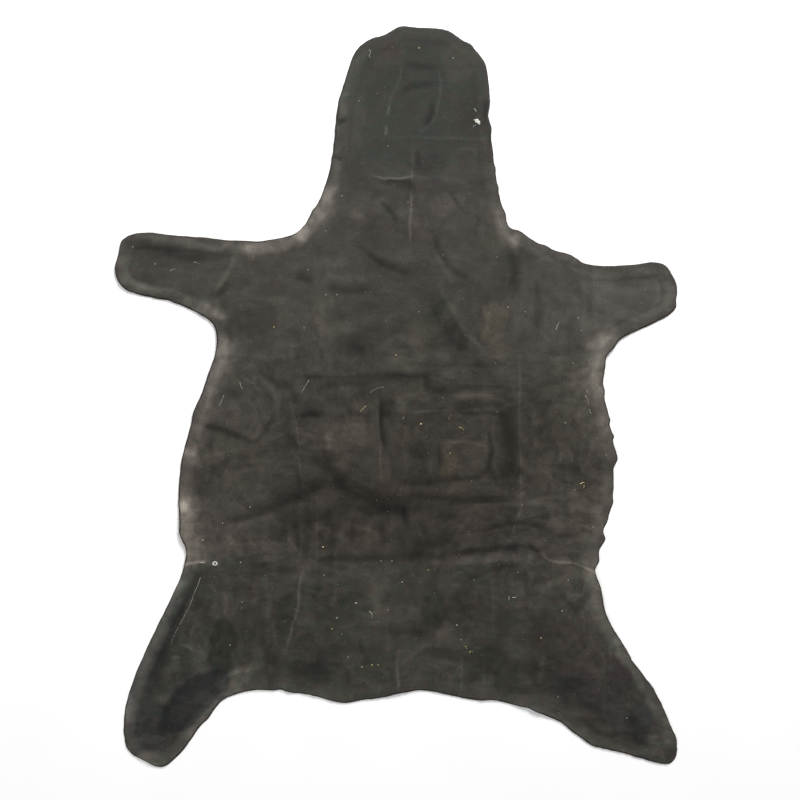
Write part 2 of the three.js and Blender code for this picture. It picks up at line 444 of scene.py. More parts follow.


# %% Valleys and dark wrinkles, darkened by painted shade
VALLEYS = [
    # line in photo pixels, half width mm, height mm, tone (painted shade)
    ([(376, 196), (388, 209), (399, 222)], 6, -0.9, 0.68),
    ([(382, 182), (398, 183), (411, 182), (412, 193)], 7, -0.6, 0.66),
    ([(432, 233), (438, 250), (447, 266), (472, 284)], 12, -1.0, 0.72),
    ([(427, 294), (438, 318), (453, 343), (474, 355)], 15, -1.2, 0.84),
    ([(362, 250), (378, 262), (396, 270), (414, 276)], 14, -0.9, 0.68),
    ([(324, 288), (345, 292), (372, 290)], 16, -0.8, 0.72),
    ([(508, 248), (514, 275), (512, 300)], 18, -0.7, 0.76),
    ([(254, 372), (268, 378), (284, 390)], 10, -0.8, 0.76),
    ([(284, 380), (294, 393), (298, 406)], 9, -0.7, 0.76),
    ([(202, 425), (222, 430), (240, 437), (256, 442)], 8, -1.0, 0.62),
    ([(255, 442), (266, 431), (275, 416)], 7, -0.5, 0.8),
    ([(282, 428), (296, 448), (304, 464)], 12, -0.9, 0.78),
    ([(220, 525), (250, 517), (270, 511), (288, 501), (306, 494), (322, 484)], 14, -1.1, 0.7),
    ([(304, 449), (320, 462), (338, 481), (358, 495), (385, 508), (424, 513)], 30, -1.1, 0.7),
    ([(320, 462), (338, 478), (340, 496)], 24, -0.6, 0.78),
    ([(365, 380), (398, 377), (432, 375)], 8, -0.6, 0.78),
    ([(395, 484), (430, 482), (470, 478), (520, 475)], 15, -0.9, 0.74),
    ([(395, 497), (430, 498), (470, 500), (520, 501)], 12, -0.7, 0.74),
    ([(452, 553), (485, 550), (510, 547), (528, 545)], 9, -1.2, 0.52),
    ([(528, 545), (540, 552)], 6, -0.8, 0.5),
    ([(244, 562), (272, 570), (302, 573)], 16, -0.8, 0.74),
    ([(318, 560), (372, 560), (420, 556), (455, 560)], 14, -0.8, 0.76),
    ([(503, 405), (509, 450), (508, 490)], 27, -0.5, 0.68),
    ([(536, 276), (538, 310), (535, 344)], 14, -0.4, 0.8),
    ([(276, 502), (300, 494), (326, 484), (344, 488)], 18, -0.6, 0.84),
    ([(322, 388), (350, 384), (372, 386)], 14, -0.5, 0.76),
    ([(453, 408), (475, 405), (505, 403)], 8, -0.7, 0.8),
    ([(460, 584), (478, 575), (502, 567), (520, 565)], 15, -0.8, 0.72),
    ([(486, 531), (508, 523), (530, 522), (549, 531)], 12, -0.8, 0.66),
    ([(500, 536), (520, 532), (545, 536)], 18, -0.4, 0.74),
    ([(210, 296), (222, 291), (230, 281)], 9, -0.6, 0.7),
    ([(132, 246), (160, 249), (190, 258), (226, 259)], 20, -0.6, 0.72),
    ([(540, 251), (560, 262), (585, 268)], 12, -0.7, 0.74),
    ([(588, 262), (590, 290), (586, 322)], 9, -0.4, 0.86),
    ([(298, 414), (322, 416)], 14, -0.5, 0.66),
    ([(406, 503), (404, 515), (407, 528)], 11, -0.5, 0.64),
    ([(410, 552), (432, 545), (455, 535)], 30, -0.5, 0.72),
    ([(198, 580), (186, 604), (176, 626), (162, 662), (150, 694)], 20, -0.8, 0.7),
    ([(402, 64), (420, 67), (437, 67)], 9, -0.5, 0.78),
    ([(400, 95), (412, 88), (437, 84)], 13, -0.6, 0.76),
    ([(434, 103), (432, 115), (426, 126)], 12, -0.8, 0.7),
    ([(417, 148), (419, 168)], 10, -0.5, 0.78),
    ([(336, 124), (345, 120)], 8, -0.8, 0.56),
    ([(332, 156), (342, 159)], 7, -0.8, 0.66),
    ([(450, 193), (457, 202), (464, 212)], 6, -0.5, 0.72),
    ([(381, 402), (382, 432), (383, 452)], 8, -0.5, 0.74),
    ([(440, 440), (440, 474)], 5, -0.4, 0.76),
    ([(430, 410), (500, 413)], 7, -0.4, 0.8),
    ([(306, 502), (308, 540), (304, 566)], 14, -0.5, 0.8),
    ([(352, 508), (372, 514), (395, 508)], 14, -0.5, 0.76),
    ([(262, 655), (278, 664)], 22, -0.4, 0.72),
    ([(392, 632), (432, 634)], 13, -0.4, 0.76),
    ([(520, 565), (556, 572), (590, 580)], 9, -0.5, 0.84),
    ([(560, 596), (575, 610), (580, 625)], 12, -0.4, 0.8),
    ([(210, 470), (222, 478)], 16, -0.4, 0.74),
    ([(296, 275), (312, 279)], 8, -0.5, 0.76),
    ([(226, 322), (230, 345)], 12, -0.5, 0.76),
    ([(346, 346), (366, 352)], 24, -0.4, 0.76),
    ([(290, 376), (340, 378), (388, 374), (418, 377)], 6, -0.5, 0.74),
    ([(410, 362), (450, 366), (505, 364)], 5, -0.4, 0.8),
    ([(424, 372), (428, 388), (446, 392)], 9, -0.5, 0.74),
    ([(380, 392), (381, 420), (386, 448)], 6, -0.4, 0.78),
    ([(412, 424), (414, 444)], 10, -0.3, 0.8),
    ([(414, 448), (425, 462), (424, 476)], 12, -0.3, 0.8),
    ([(488, 428), (492, 452), (486, 474)], 10, -0.4, 0.76),
    ([(455, 388), (490, 387), (530, 391)], 5, -0.4, 0.8),
    ([(462, 414), (490, 413), (512, 415)], 5, -0.4, 0.8),
    ([(530, 404), (560, 402), (590, 406)], 6, -0.3, 0.84),
    ([(210, 400), (226, 392), (240, 396)], 8, -0.4, 0.82),
    ([(206, 448), (214, 438)], 9, -0.4, 0.8),
    ([(238, 452), (250, 470)], 12, -0.4, 0.84),
    ([(296, 470), (300, 492)], 10, -0.4, 0.74),
    ([(295, 520), (300, 550)], 12, -0.4, 0.78),
    ([(330, 520), (334, 548)], 9, -0.4, 0.78),
    ([(354, 518), (352, 545)], 8, -0.4, 0.78),
    ([(382, 520), (384, 546)], 8, -0.4, 0.76),
    ([(418, 520), (424, 536)], 14, -0.4, 0.8),
    ([(430, 515), (470, 522)], 14, -0.4, 0.86),
    ([(243, 530), (246, 556)], 12, -0.4, 0.82),
    ([(540, 495), (570, 492)], 6, -0.4, 0.78),
    ([(556, 536), (580, 534)], 8, -0.4, 0.82),
    ([(556, 465), (584, 470)], 10, -0.3, 0.84),
    ([(480, 305), (482, 326), (476, 344)], 11, -0.5, 0.8),
    ([(355, 326), (372, 330), (384, 326)], 8, -0.4, 0.82),
    ([(300, 418), (312, 414), (322, 418)], 12, -0.4, 0.8),
    ([(296, 279), (312, 281)], 6, -0.4, 0.72),
    ([(350, 345), (362, 348), (376, 344)], 16, -0.4, 0.8),
    ([(560, 386), (578, 390)], 8, -0.3, 0.86),
    ([(222, 468), (232, 452)], 8, -0.3, 0.84),
]
print(len(VALLEYS), "valleys")

# %% Crests and storage creases, paled by dust and painted highlight
CRESTS = [
    # line in photo pixels, half width mm, height mm, tone (dust and painted highlight)
    ([(438, 288), (450, 308), (466, 334), (484, 353)], 8, 4.0, 1.24),
    ([(430, 236), (437, 258), (446, 276), (460, 292)], 8, 2.0, 1.12),
    ([(413, 146), (412, 180), (410, 215), (411, 256)], 4.4, 0.9, 1.24),
    ([(412, 190), (411, 200), (410, 224), (411, 242)], 5, 0.5, 1.2),
    ([(401, 64), (399, 80), (390, 98), (387, 112)], 4, 0.9, 1.2),
    ([(388, 106), (387, 116)], 4.5, 1.0, 1.5),
    ([(386, 127), (385, 136)], 5, 0.9, 1.6),
    ([(439, 70), (440, 100), (436, 118)], 4, 1.0, 1.24),
    ([(436, 118), (428, 126), (417, 135)], 4, 0.8, 1.2),
    ([(383, 139), (412, 137), (440, 138), (494, 140)], 5, 0.6, 1.14),
    ([(371, 175), (384, 179), (398, 180), (415, 176)], 4, 1.4, 1.6),
    ([(292, 402), (296, 425), (299, 450), (301, 482)], 4, 0.9, 1.22),
    ([(316, 484), (317, 530), (315, 576)], 4, 0.8, 1.2),
    ([(303, 566), (297, 610), (286, 654)], 4.5, 1.2, 1.5),
    ([(377, 398), (379, 425), (380, 450), (381, 482)], 4, 0.9, 1.24),
    ([(520, 348), (519, 420), (521, 470), (520, 528)], 4.5, 0.9, 1.22),
    ([(520, 508), (512, 537)], 5, 0.7, 1.26),
    ([(398, 658), (398, 691)], 4.5, 1.6, 1.46),
    ([(462, 654), (460, 697)], 5, 1.1, 1.24),
    ([(485, 649), (484, 692)], 4.5, 0.8, 1.16),
    ([(376, 586), (378, 622)], 12, 0.7, 1.2),
    ([(236, 252), (231, 266), (224, 278), (212, 297)], 6, 1.4, 1.28),
    ([(582, 270), (583, 300), (583, 332)], 6, 0.8, 1.07),
    ([(216, 352), (262, 357), (308, 356)], 7, 0.7, 1.14),
    ([(478, 356), (530, 358), (600, 362)], 7, 0.8, 1.12),
    ([(453, 399), (468, 395), (490, 394)], 9, 1.0, 1.32),
    ([(413, 413), (452, 411)], 4, 0.6, 1.1),
    ([(308, 425), (345, 424), (382, 424)], 6, 0.6, 1.12),
    ([(392, 490), (425, 489), (462, 491)], 8, 0.7, 1.2),
    ([(440, 508), (480, 506), (530, 504), (570, 503)], 9, 0.9, 1.2),
    ([(536, 549), (548, 560), (572, 564), (598, 573)], 4.5, 2.2, 1.44),
    ([(184, 565), (196, 562), (208, 562)], 5, 1.6, 1.7),
    ([(202, 578), (186, 613), (168, 655), (154, 690)], 4, 0.6, 1.16),
    ([(228, 440), (254, 438), (266, 422)], 9, 1.6, 1.14),
    ([(250, 362), (266, 382), (279, 402), (281, 420)], 9, 1.4, 1.2),
    ([(415, 562), (470, 562), (540, 558)], 12, 2.2, 1.2),
    ([(360, 240), (378, 256), (412, 260)], 10, 1.2, 1.1),
    ([(320, 277), (372, 280)], 10, 1.0, 1.1),
    ([(545, 650), (538, 690)], 7, 1.0, 1.24),
    ([(130, 284), (160, 292), (206, 303)], 12, 1.2, 1.16),
    ([(140, 272), (170, 268), (210, 275)], 7, 0.8, 1.12),
    ([(228, 312), (262, 304), (292, 300)], 10, 1.0, 1.1),
    ([(325, 300), (320, 340)], 10, 0.8, 1.14),
    ([(430, 460), (432, 486)], 5, 0.5, 1.12),
    ([(493, 425), (494, 470)], 5, 0.5, 1.12),
    ([(560, 440), (562, 545)], 6, 0.5, 1.1),
    ([(232, 500), (228, 548), (226, 600)], 9, 0.5, 1.12),
    ([(640, 270), (657, 280), (660, 300), (648, 316)], 8, 1.2, 1.14),
    ([(600, 290), (640, 294)], 12, 1.2, 1.12),
    ([(378, 196), (384, 203)], 7, 0.5, 1.3),
    ([(455, 150), (466, 148), (475, 152), (474, 161)], 4.5, 0.4, 1.16),
    ([(432, 220), (446, 212), (452, 200), (470, 202)], 20, 0.6, 1.12),
    ([(352, 206), (362, 222), (352, 232)], 18, 0.6, 1.16),
    ([(412, 214), (420, 232), (432, 240)], 12, 0.8, 1.14),
    ([(318, 430), (348, 438), (372, 432)], 26, 0.5, 1.16),
    ([(330, 430), (332, 446)], 6, 0.5, 1.2),
    ([(345, 512), (340, 540)], 9, 0.4, 1.18),
    ([(372, 518), (368, 545)], 10, 0.4, 1.22),
    ([(392, 516), (392, 545)], 8, 0.4, 1.16),
    ([(266, 520), (262, 552)], 9, 0.4, 1.16),
    ([(290, 520), (288, 556)], 8, 0.4, 1.14),
    ([(224, 678), (240, 671), (256, 667)], 6, 0.6, 1.4),
    ([(178, 645), (188, 646), (195, 651)], 4.5, 0.4, 1.4),
    ([(190, 612), (202, 626), (212, 656)], 9, 0.5, 1.2),
    ([(228, 582), (240, 577), (254, 584), (259, 596), (250, 608), (236, 606)], 9, 0.5, 1.26),
    ([(264, 580), (270, 600), (268, 622)], 8, 0.5, 1.2),
    ([(222, 588), (226, 612)], 10, 0.4, 1.22),
    ([(478, 588), (474, 622)], 7, 0.4, 1.14),
    ([(492, 580), (494, 640)], 6, 0.4, 1.12),
    ([(336, 580), (334, 606)], 6, 0.4, 1.16),
    ([(512, 585), (548, 590), (560, 600)], 12, 0.5, 1.12),
    ([(560, 575), (590, 580)], 12, 0.6, 1.16),
    ([(440, 628), (438, 650)], 8, 0.4, 1.12),
    ([(548, 300), (545, 340)], 8, 0.4, 1.08),
    ([(540, 388), (600, 384)], 8, 0.5, 1.12),
    ([(410, 395), (432, 400)], 9, 0.5, 1.14),
    ([(545, 480), (600, 478)], 7, 0.4, 1.1),
    ([(205, 440), (208, 462)], 10, 0.5, 1.12),
    ([(240, 395), (236, 420)], 10, 0.5, 1.14),
    ([(300, 424), (304, 436), (300, 448)], 8, 0.5, 1.16),
    ([(326, 432), (330, 450)], 5, 0.4, 1.26),
    ([(396, 398), (404, 404), (402, 414)], 9, 0.4, 1.3),
    ([(457, 400), (470, 396), (498, 397)], 6, 0.5, 1.3),
    ([(498, 400), (512, 404)], 8, 0.4, 1.14),
    ([(400, 410), (412, 412), (450, 410), (490, 411)], 4.5, 0.4, 1.2),
    ([(440, 444), (466, 441), (486, 446), (488, 466)], 4.5, 0.4, 1.2),
    ([(386, 430), (398, 436), (404, 450)], 7, 0.4, 1.14),
    ([(350, 418), (376, 420)], 5, 0.4, 1.18),
    ([(270, 428), (282, 422), (288, 412)], 5, 0.4, 1.18),
    ([(240, 376), (254, 384), (262, 394)], 5, 0.4, 1.2),
    ([(212, 452), (228, 456), (240, 448)], 9, 0.4, 1.12),
    ([(344, 486), (376, 500), (404, 505)], 5, 0.4, 1.14),
    ([(448, 548), (460, 530), (470, 516)], 6, 0.4, 1.2),
    ([(476, 546), (486, 534), (500, 530)], 5, 0.4, 1.14),
    ([(424, 548), (440, 552)], 9, 0.4, 1.12),
    ([(354, 530), (366, 528), (380, 536)], 7, 0.4, 1.22),
    ([(302, 532), (300, 560)], 6, 0.4, 1.2),
    ([(288, 536), (298, 552)], 5, 0.4, 1.3),
    ([(530, 440), (548, 446)], 7, 0.4, 1.14),
    ([(535, 470), (540, 490)], 9, 0.4, 1.12),
]
print(len(CRESTS), "crests")

# %% How much of a line is felt
LINE_END = 0.18  # the share of its length over which each end of a line fades
LINE_POWER = 2.6  # a bell curve has 2


def line_share(places, line, width, steep=1.0):
    """How much of a wrinkle is felt at each place: 1 on its line, 0 away from it, with
    steeper sides than a bell curve has. A share below 1 for steep narrows its rump side."""
    distance, along, behind = from_line(places, on_rug(line))
    side = behind / np.maximum(distance, 0.01 * MM)
    reach = width * MM * (1 + (steep - 1) * soft_step(0.5 + side))
    ends = soft_step(np.minimum(along, 1 - along) / LINE_END)
    return np.exp(-((distance / reach) ** LINE_POWER)) * (0.25 + 0.75 * ends)


# %% [markdown]
# ## Patches of tone
#
# Handling, damp and dust have left patches on the felt. Each is a soft ellipse in a table, with the factors
# by which it changes the felt's red, green and blue. The patches named after a fold, crease or crest are
# painted light and shade instead: the dark ones painted shade, the pale ones painted light. Pale lines along
# the rims are in a table of their own.

# %% Patches
PATCHES = [
    # name, x, y, radii in photo pixels, turn in degrees, softness, red, green, blue
    ("head", 410, 104, 86, 64, 14, 0.55, 0.815, 0.862, 0.845),
    ("head left", 350, 104, 15, 44, 6, 0.6, 1.24, 1.25, 1.23),
    ("head right", 470, 92, 14, 20, 0, 0.5, 0.92, 0.92, 0.92),
    ("brown on the brow", 391, 54, 13, 15, 20, 0.5, 1.06, 0.98, 1.0),
    ("brown on the right brow", 457, 66, 17, 20, 20, 0.5, 1.32, 1.25, 1.22),
    ("brown on the right cheek", 468, 118, 20, 18, 0, 0.6, 0.98, 0.92, 0.93),
    ("crown", 405, 36, 60, 12, 0, 0.7, 1.0, 1.02, 1.04),
    ("neck", 425, 205, 62, 36, 0, 0.7, 1.1, 1.08, 1.1),
    ("neck dark left", 372, 160, 14, 8, 0, 0.4, 0.92, 0.98, 0.96),
    ("neck dark right", 428, 166, 18, 11, 0, 0.4, 0.82, 0.8, 0.8),
    ("neck brown low", 434, 186, 40, 7, 4, 0.4, 0.8, 0.78, 0.79),
    ("neck dark low", 375, 224, 26, 10, 6, 0.4, 0.84, 0.82, 0.82),
    ("neck dark middle", 424, 228, 22, 16, 0, 0.5, 0.86, 0.85, 0.84),
    ("neck pale left", 350, 212, 20, 24, 0, 0.5, 1.1, 1.1, 1.09),
    ("neck pale right", 492, 232, 14, 22, -10, 0.5, 1.14, 1.14, 1.12),
    ("left shoulder", 290, 280, 74, 42, 0, 0.5, 1.14, 1.13, 1.11),
    ("left shoulder low", 296, 332, 58, 18, 0, 0.5, 1.13, 1.12, 1.1),
    ("left shoulder top", 296, 258, 46, 8, -6, 0.5, 1.14, 1.13, 1.13),
    ("right shoulder", 565, 308, 58, 46, 0, 0.5, 1.3, 1.3, 1.3),
    ("right foreleg", 632, 295, 46, 24, -8, 0.4, 1.3, 1.3, 1.31),
    ("left foreleg", 172, 268, 60, 24, 8, 0.5, 1.1, 1.1, 1.1),
    ("chest", 440, 325, 22, 28, 32, 0.8, 0.83, 0.85, 0.82),
    ("chest dark line", 464, 305, 11, 30, 14, 0.5, 0.84, 0.83, 0.82),
    ("pale ribs top", 405, 361, 20, 12, 0, 0.4, 1.26, 1.25, 1.21),
    ("withers", 355, 345, 24, 14, 0, 0.5, 0.84, 0.83, 0.81),
    ("middle", 430, 440, 125, 66, 0, 0.5, 0.86, 0.85, 0.81),
    ("right column", 508, 432, 12, 44, 0, 0.4, 0.86, 0.85, 0.84),
    ("low middle", 400, 520, 112, 40, 4, 0.5, 0.7, 0.68, 0.66),
    ("left wedge", 296, 492, 34, 12, 20, 0.4, 0.8, 0.79, 0.78),
    ("left belly", 236, 460, 34, 34, 0, 0.5, 1.1, 1.1, 1.06),
    ("left belly low", 262, 545, 44, 20, 0, 0.5, 1.08, 1.07, 1.05),
    ("right belly", 566, 450, 36, 90, 0, 0.5, 0.98, 0.98, 0.95),
    ("right belly low", 584, 510, 14, 30, 0, 0.5, 1.2, 1.19, 1.16),
    ("hip", 568, 570, 40, 12, 6, 0.6, 1.14, 1.12, 1.09),
    ("hip dark", 512, 580, 32, 8, 0, 0.4, 0.82, 0.82, 0.82),
    ("rump", 400, 640, 190, 62, 0, 0.5, 0.86, 0.86, 0.84),
    ("rump pale low", 400, 664, 70, 14, 0, 0.6, 1.14, 1.13, 1.12),
    ("green over the croup", 431, 612, 12, 21, -8, 0.3, 0.68, 0.74, 0.7),
    ("green between the low creases", 491, 661, 17, 14, 0, 0.3, 0.68, 0.73, 0.7),
    ("green beside the low crease", 470, 651, 10, 8, 0, 0.4, 0.8, 0.84, 0.81),
    ("green low on the left rump", 310, 671, 24, 9, -14, 0.4, 0.68, 0.73, 0.7),
    ("green high on the rump", 356, 603, 16, 13, 0, 0.4, 0.8, 0.85, 0.82),
    ("green by the left crease", 287, 618, 9, 25, -8, 0.3, 0.74, 0.8, 0.76),
    ("rump dark", 440, 628, 30, 12, 0, 0.4, 0.86, 0.84, 0.84),
    ("rump brown", 470, 600, 14, 22, 0, 0.5, 0.8, 0.77, 0.77),
    ("rump dark left", 350, 655, 40, 12, 0, 0.4, 0.84, 0.86, 0.85),
    ("rump pale", 380, 600, 16, 26, 0, 0.5, 1.14, 1.13, 1.12),
    ("left rump", 275, 622, 30, 26, 20, 0.5, 1.02, 1.01, 1.0),
    ("left hip pale", 236, 592, 24, 26, 0, 0.5, 1.0, 0.98, 0.96),
    ("left thigh", 221, 645, 14, 27, -8, 0.3, 0.56, 0.6, 0.56),
    ("left thigh wedge", 211, 631, 10, 15, 30, 0.4, 0.7, 0.74, 0.7),
    ("left thigh foot", 223, 669, 11, 9, 0, 0.4, 0.78, 0.82, 0.82),
    ("left thigh low", 182, 650, 24, 24, 0, 0.5, 0.94, 0.99, 0.95),
    ("pale blotch on the thigh", 197, 630, 8, 9, 0, 0.5, 1.34, 1.28, 1.26),
    ("pale blotch below it", 174, 663, 6, 6, 0, 0.5, 1.4, 1.32, 1.3),
    ("pale blotch on the shank", 163, 699, 8, 8, 0, 0.5, 1.4, 1.35, 1.28),
    ("left shank", 151, 722, 15, 27, -14, 0.3, 0.72, 0.76, 0.8),
    ("left shank top", 166, 680, 22, 40, -24, 0.5, 0.82, 0.88, 0.86),
    ("left hem", 152, 650, 12, 76, -24, 0.5, 0.94, 1.0, 1.04),
    ("left hem low", 131, 724, 8, 28, 0, 0.6, 1.08, 1.12, 1.16),
    ("left shank heart", 192, 701, 46, 19, 42, 0.2, 0.49, 0.53, 0.585),
    ("left shank low", 158, 748, 22, 8, 0, 0.5, 0.94, 0.96, 0.99),
    ("left hock", 196, 590, 12, 34, -26, 0.6, 0.86, 0.93, 0.91),
    ("right thigh", 566, 650, 44, 34, -35, 0.4, 0.86, 0.82, 0.83),
    ("right shank", 604, 706, 56, 16, -42, 0.4, 0.74, 0.71, 0.73),
    ("right hoof", 641, 723, 11, 24, 8, 0.35, 0.7, 0.75, 0.81),
    ("right toe", 662, 748, 12, 14, 0, 0.6, 1.2, 1.22, 1.2),
    ("toe of left hind leg", 156, 758, 18, 8, 10, 0.5, 1.5, 1.5, 1.5),
    ("below the rump", 238, 675, 26, 10, 25, 0.4, 1.5, 1.52, 1.5),
    ("green by the shoulder", 508, 270, 10, 20, 0, 0.5, 0.86, 0.91, 0.88),
    ("green in the chest", 439, 308, 6, 15, -38, 0.5, 0.72, 0.78, 0.73),
    ("brown in the chest", 451, 327, 7, 11, -34, 0.4, 0.76, 0.72, 0.7),
    ("green low in the chest", 461, 340, 6, 10, -34, 0.4, 0.72, 0.75, 0.71),
    ("green spot", 387, 408, 8, 9, 0, 0.3, 0.64, 0.69, 0.66),
    ("green spot low", 568, 688, 17, 10, 10, 0.4, 0.78, 0.88, 0.86),
    ("pale stain", 493, 322, 14, 20, 0, 0.35, 1.36, 1.34, 1.2),
    ("pale stain low", 497, 350, 10, 9, 0, 0.4, 1.14, 1.12, 1.0),
    ("pale stain on the withers", 421, 336, 9, 20, 8, 0.9, 1.28, 1.27, 1.15),
    ("pale stain in the panel", 447, 462, 9, 12, 0, 0.9, 1.34, 1.3, 1.13),
    ("small pale stain", 364, 536, 5, 6, 0, 0.9, 1.26, 1.22, 1.05),
    ("pale panel", 463, 457, 22, 20, 45, 0.5, 1.22, 1.21, 1.2),
    ("pale panel left", 342, 438, 32, 18, 10, 0.8, 1.24, 1.23, 1.24),
    # painted light beside the low crease
    ("pale by the low crease", 478, 513, 22, 8, 8, 0.5, 1.38, 1.36, 1.33),
    ("left foreleg top", 150, 250, 26, 8, 0, 0.5, 0.86, 0.86, 0.86),
    ("right foreleg paw", 655, 290, 16, 18, 0, 0.5, 1.1, 1.1, 1.1),
    # painted light beside the neck crease
    ("pale by the neck crease", 446, 204, 16, 12, 30, 0.8, 1.12, 1.11, 1.08),
    ("pale by the neck edge", 366, 208, 18, 12, -30, 0.9, 1.12, 1.11, 1.1),
    ("pale withers", 325, 316, 12, 24, 0, 0.5, 1.16, 1.16, 1.14),
    ("pale breast", 460, 252, 26, 14, 24, 0.4, 1.12, 1.12, 1.1),
    ("pale hip line", 572, 584, 36, 10, 8, 0.5, 1.12, 1.11, 1.1),
    ("pale fleck", 516, 590, 8, 12, 0, 0.5, 1.24, 1.22, 1.18),
    ("dark ribs left", 312, 408, 12, 10, 0, 0.4, 0.8, 0.79, 0.78),
    ("dark ribs", 338, 388, 26, 7, 0, 0.4, 0.9, 0.89, 0.88),
    ("dark flank left", 217, 429, 14, 6, -16, 0.4, 0.84, 0.83, 0.82),
    ("dark flank low", 210, 476, 14, 9, 0, 0.4, 0.92, 0.92, 0.92),
    ("dark shoulder", 254, 318, 22, 20, 0, 0.4, 0.86, 0.85, 0.83),
    ("dark right ribs", 566, 430, 22, 16, 0, 0.4, 0.86, 0.85, 0.84),
    ("dark right flank", 585, 470, 14, 20, 0, 0.4, 0.88, 0.87, 0.87),
    ("left flank low", 214, 541, 20, 9, 0, 0.5, 1.34, 1.33, 1.32),
    ("right flank high", 590, 424, 16, 22, 0, 0.6, 1.26, 1.26, 1.25),
    ("right flank top", 584, 375, 14, 20, 0, 0.6, 1.25, 1.25, 1.24),
    ("right thigh dark", 549, 684, 29, 12, -36, 0.4, 0.67, 0.645, 0.65),
    ("right thigh brown", 526, 668, 15, 9, 0, 0.5, 0.82, 0.8, 0.8),
    ("right shank brown", 590, 716, 11, 19, 32, 0.4, 0.78, 0.74, 0.74),
    ("right shank dark", 617, 674, 11, 22, 16, 0.35, 0.72, 0.68, 0.71),
    ("right shank hem", 628, 742, 28, 8, -16, 0.5, 0.8, 0.8, 0.8),
    ("right toe dark", 656, 733, 8, 14, 0, 0.5, 0.86, 0.86, 0.88),
    ("right thigh pale", 586, 628, 9, 22, 6, 0.5, 1.2, 1.19, 1.16),
    ("rump green right", 506, 679, 13, 16, 0, 0.4, 0.71, 0.76, 0.73),
    ("rump pale right", 528, 608, 22, 9, 0, 0.6, 1.16, 1.14, 1.12),
    ("cheek left", 367, 132, 22, 26, 0, 0.6, 1.1, 1.1, 1.08),
    ("neck right edge", 487, 206, 8, 34, -8, 0.5, 1.14, 1.14, 1.12),
    ("neck pale middle", 381, 210, 8, 14, 0, 0.5, 1.14, 1.13, 1.1),
    ("green fold of the neck", 387, 210, 4, 14, -45, 0.6, 0.84, 0.95, 0.91),
    ("pink on the brow", 392, 51, 12, 11, 0, 0.3, 1.04, 0.96, 0.99),
    ("pale flank high", 242, 376, 16, 11, 0, 0.5, 1.26, 1.25, 1.22),
    ("dark flank middle", 256, 450, 13, 10, 0, 0.4, 0.82, 0.81, 0.8),
    ("dark flank blob", 204, 475, 9, 8, 0, 0.4, 0.82, 0.81, 0.82),
    ("dark ribs middle", 446, 387, 26, 8, 0, 0.4, 0.76, 0.75, 0.73),
    ("pale ribs right", 545, 385, 18, 8, 0, 0.5, 1.22, 1.21, 1.19),
    ("ribs right top", 556, 369, 28, 8, 0, 0.5, 1.14, 1.13, 1.11),
    ("pale ribs middle", 366, 404, 13, 8, 0, 0.4, 1.2, 1.19, 1.17),
    ("dark column", 393, 452, 8, 24, 0, 0.4, 0.84, 0.83, 0.82),
    ("pale column", 411, 441, 9, 10, 0, 0.4, 1.16, 1.15, 1.12),
    ("pale middle", 340, 461, 9, 11, 0, 0.4, 1.2, 1.19, 1.17),
    ("small pale square", 323, 494, 12, 6, 0, 0.3, 1.16, 1.15, 1.13),
    ("pale low middle", 384, 492, 12, 6, 0, 0.4, 1.2, 1.18, 1.16),
    ("dark right column", 521, 460, 9, 16, 0, 0.4, 0.82, 0.81, 0.8),
    ("dark right column low", 537, 485, 13, 13, 0, 0.4, 0.8, 0.79, 0.78),
    ("dark by the hip", 545, 548, 18, 8, 0, 0.5, 0.78, 0.77, 0.76),
    ("dark low right", 484, 547, 16, 7, 0, 0.5, 0.78, 0.77, 0.76),
    ("dark above the low right", 492, 530, 15, 7, 0, 0.5, 0.82, 0.81, 0.8),
    ("dark low left", 330, 567, 18, 8, 0, 0.5, 0.78, 0.77, 0.76),
    ("dark low middle", 446, 567, 13, 7, 0, 0.5, 0.76, 0.75, 0.74),
    ("pale low left", 364, 547, 24, 7, 0, 0.5, 1.2, 1.19, 1.17),
    ("pale low right", 574, 533, 12, 16, 0, 0.5, 1.18, 1.17, 1.15),
    ("left belly pale low", 244, 540, 16, 9, 0, 0.5, 1.16, 1.15, 1.13),
    # painted shade in the rump crease
    ("dark rump crease", 446, 654, 20, 7, 0, 0.5, 0.72, 0.71, 0.71),
    ("dark wedge on the flank", 296, 495, 26, 9, 24, 0.4, 0.86, 0.85, 0.84),
    # painted shade in the fold of the neck
    ("dark fold of the neck", 424, 240, 20, 13, -35, 0.5, 0.88, 0.87, 0.86),
    ("right rim of the head", 488, 118, 6, 20, 0, 0.6, 0.8, 0.79, 0.8),
    ("left foreleg middle", 152, 261, 20, 10, 0, 0.6, 0.86, 0.86, 0.86),
    ("left shoulder dark", 284, 288, 32, 8, 6, 0.5, 0.88, 0.87, 0.86),
    ("left chest pale", 350, 325, 26, 11, 20, 0.5, 1.13, 1.12, 1.1),
    ("pale before the ribs", 307, 350, 16, 7, 0, 0.5, 1.14, 1.13, 1.11),
    ("dark behind the shoulder", 530, 339, 14, 12, 0, 0.5, 0.85, 0.84, 0.82),
    ("dark shoulder top", 548, 270, 14, 6, -12, 0.5, 0.87, 0.87, 0.86),
    ("dark elbow", 601, 332, 12, 7, 0, 0.5, 0.87, 0.87, 0.86),
    ("pale by the shoulder", 500, 244, 14, 14, 0, 0.5, 1.13, 1.12, 1.1),
    ("dark ribs right", 487, 404, 12, 6, 0, 0.4, 0.8, 0.79, 0.78),
    ("pale flank fleck", 234, 423, 9, 7, 0, 0.4, 1.2, 1.19, 1.17),
    ("dark left of the middle", 360, 479, 8, 8, 0, 0.4, 0.76, 0.75, 0.74),
    ("dark across the middle", 400, 477, 14, 7, 0, 0.4, 0.82, 0.81, 0.8),
    ("dark right of the middle", 505, 486, 24, 5, -8, 0.4, 0.84, 0.83, 0.82),
    ("dark left of the low middle", 334, 520, 11, 13, 0, 0.4, 0.82, 0.81, 0.8),
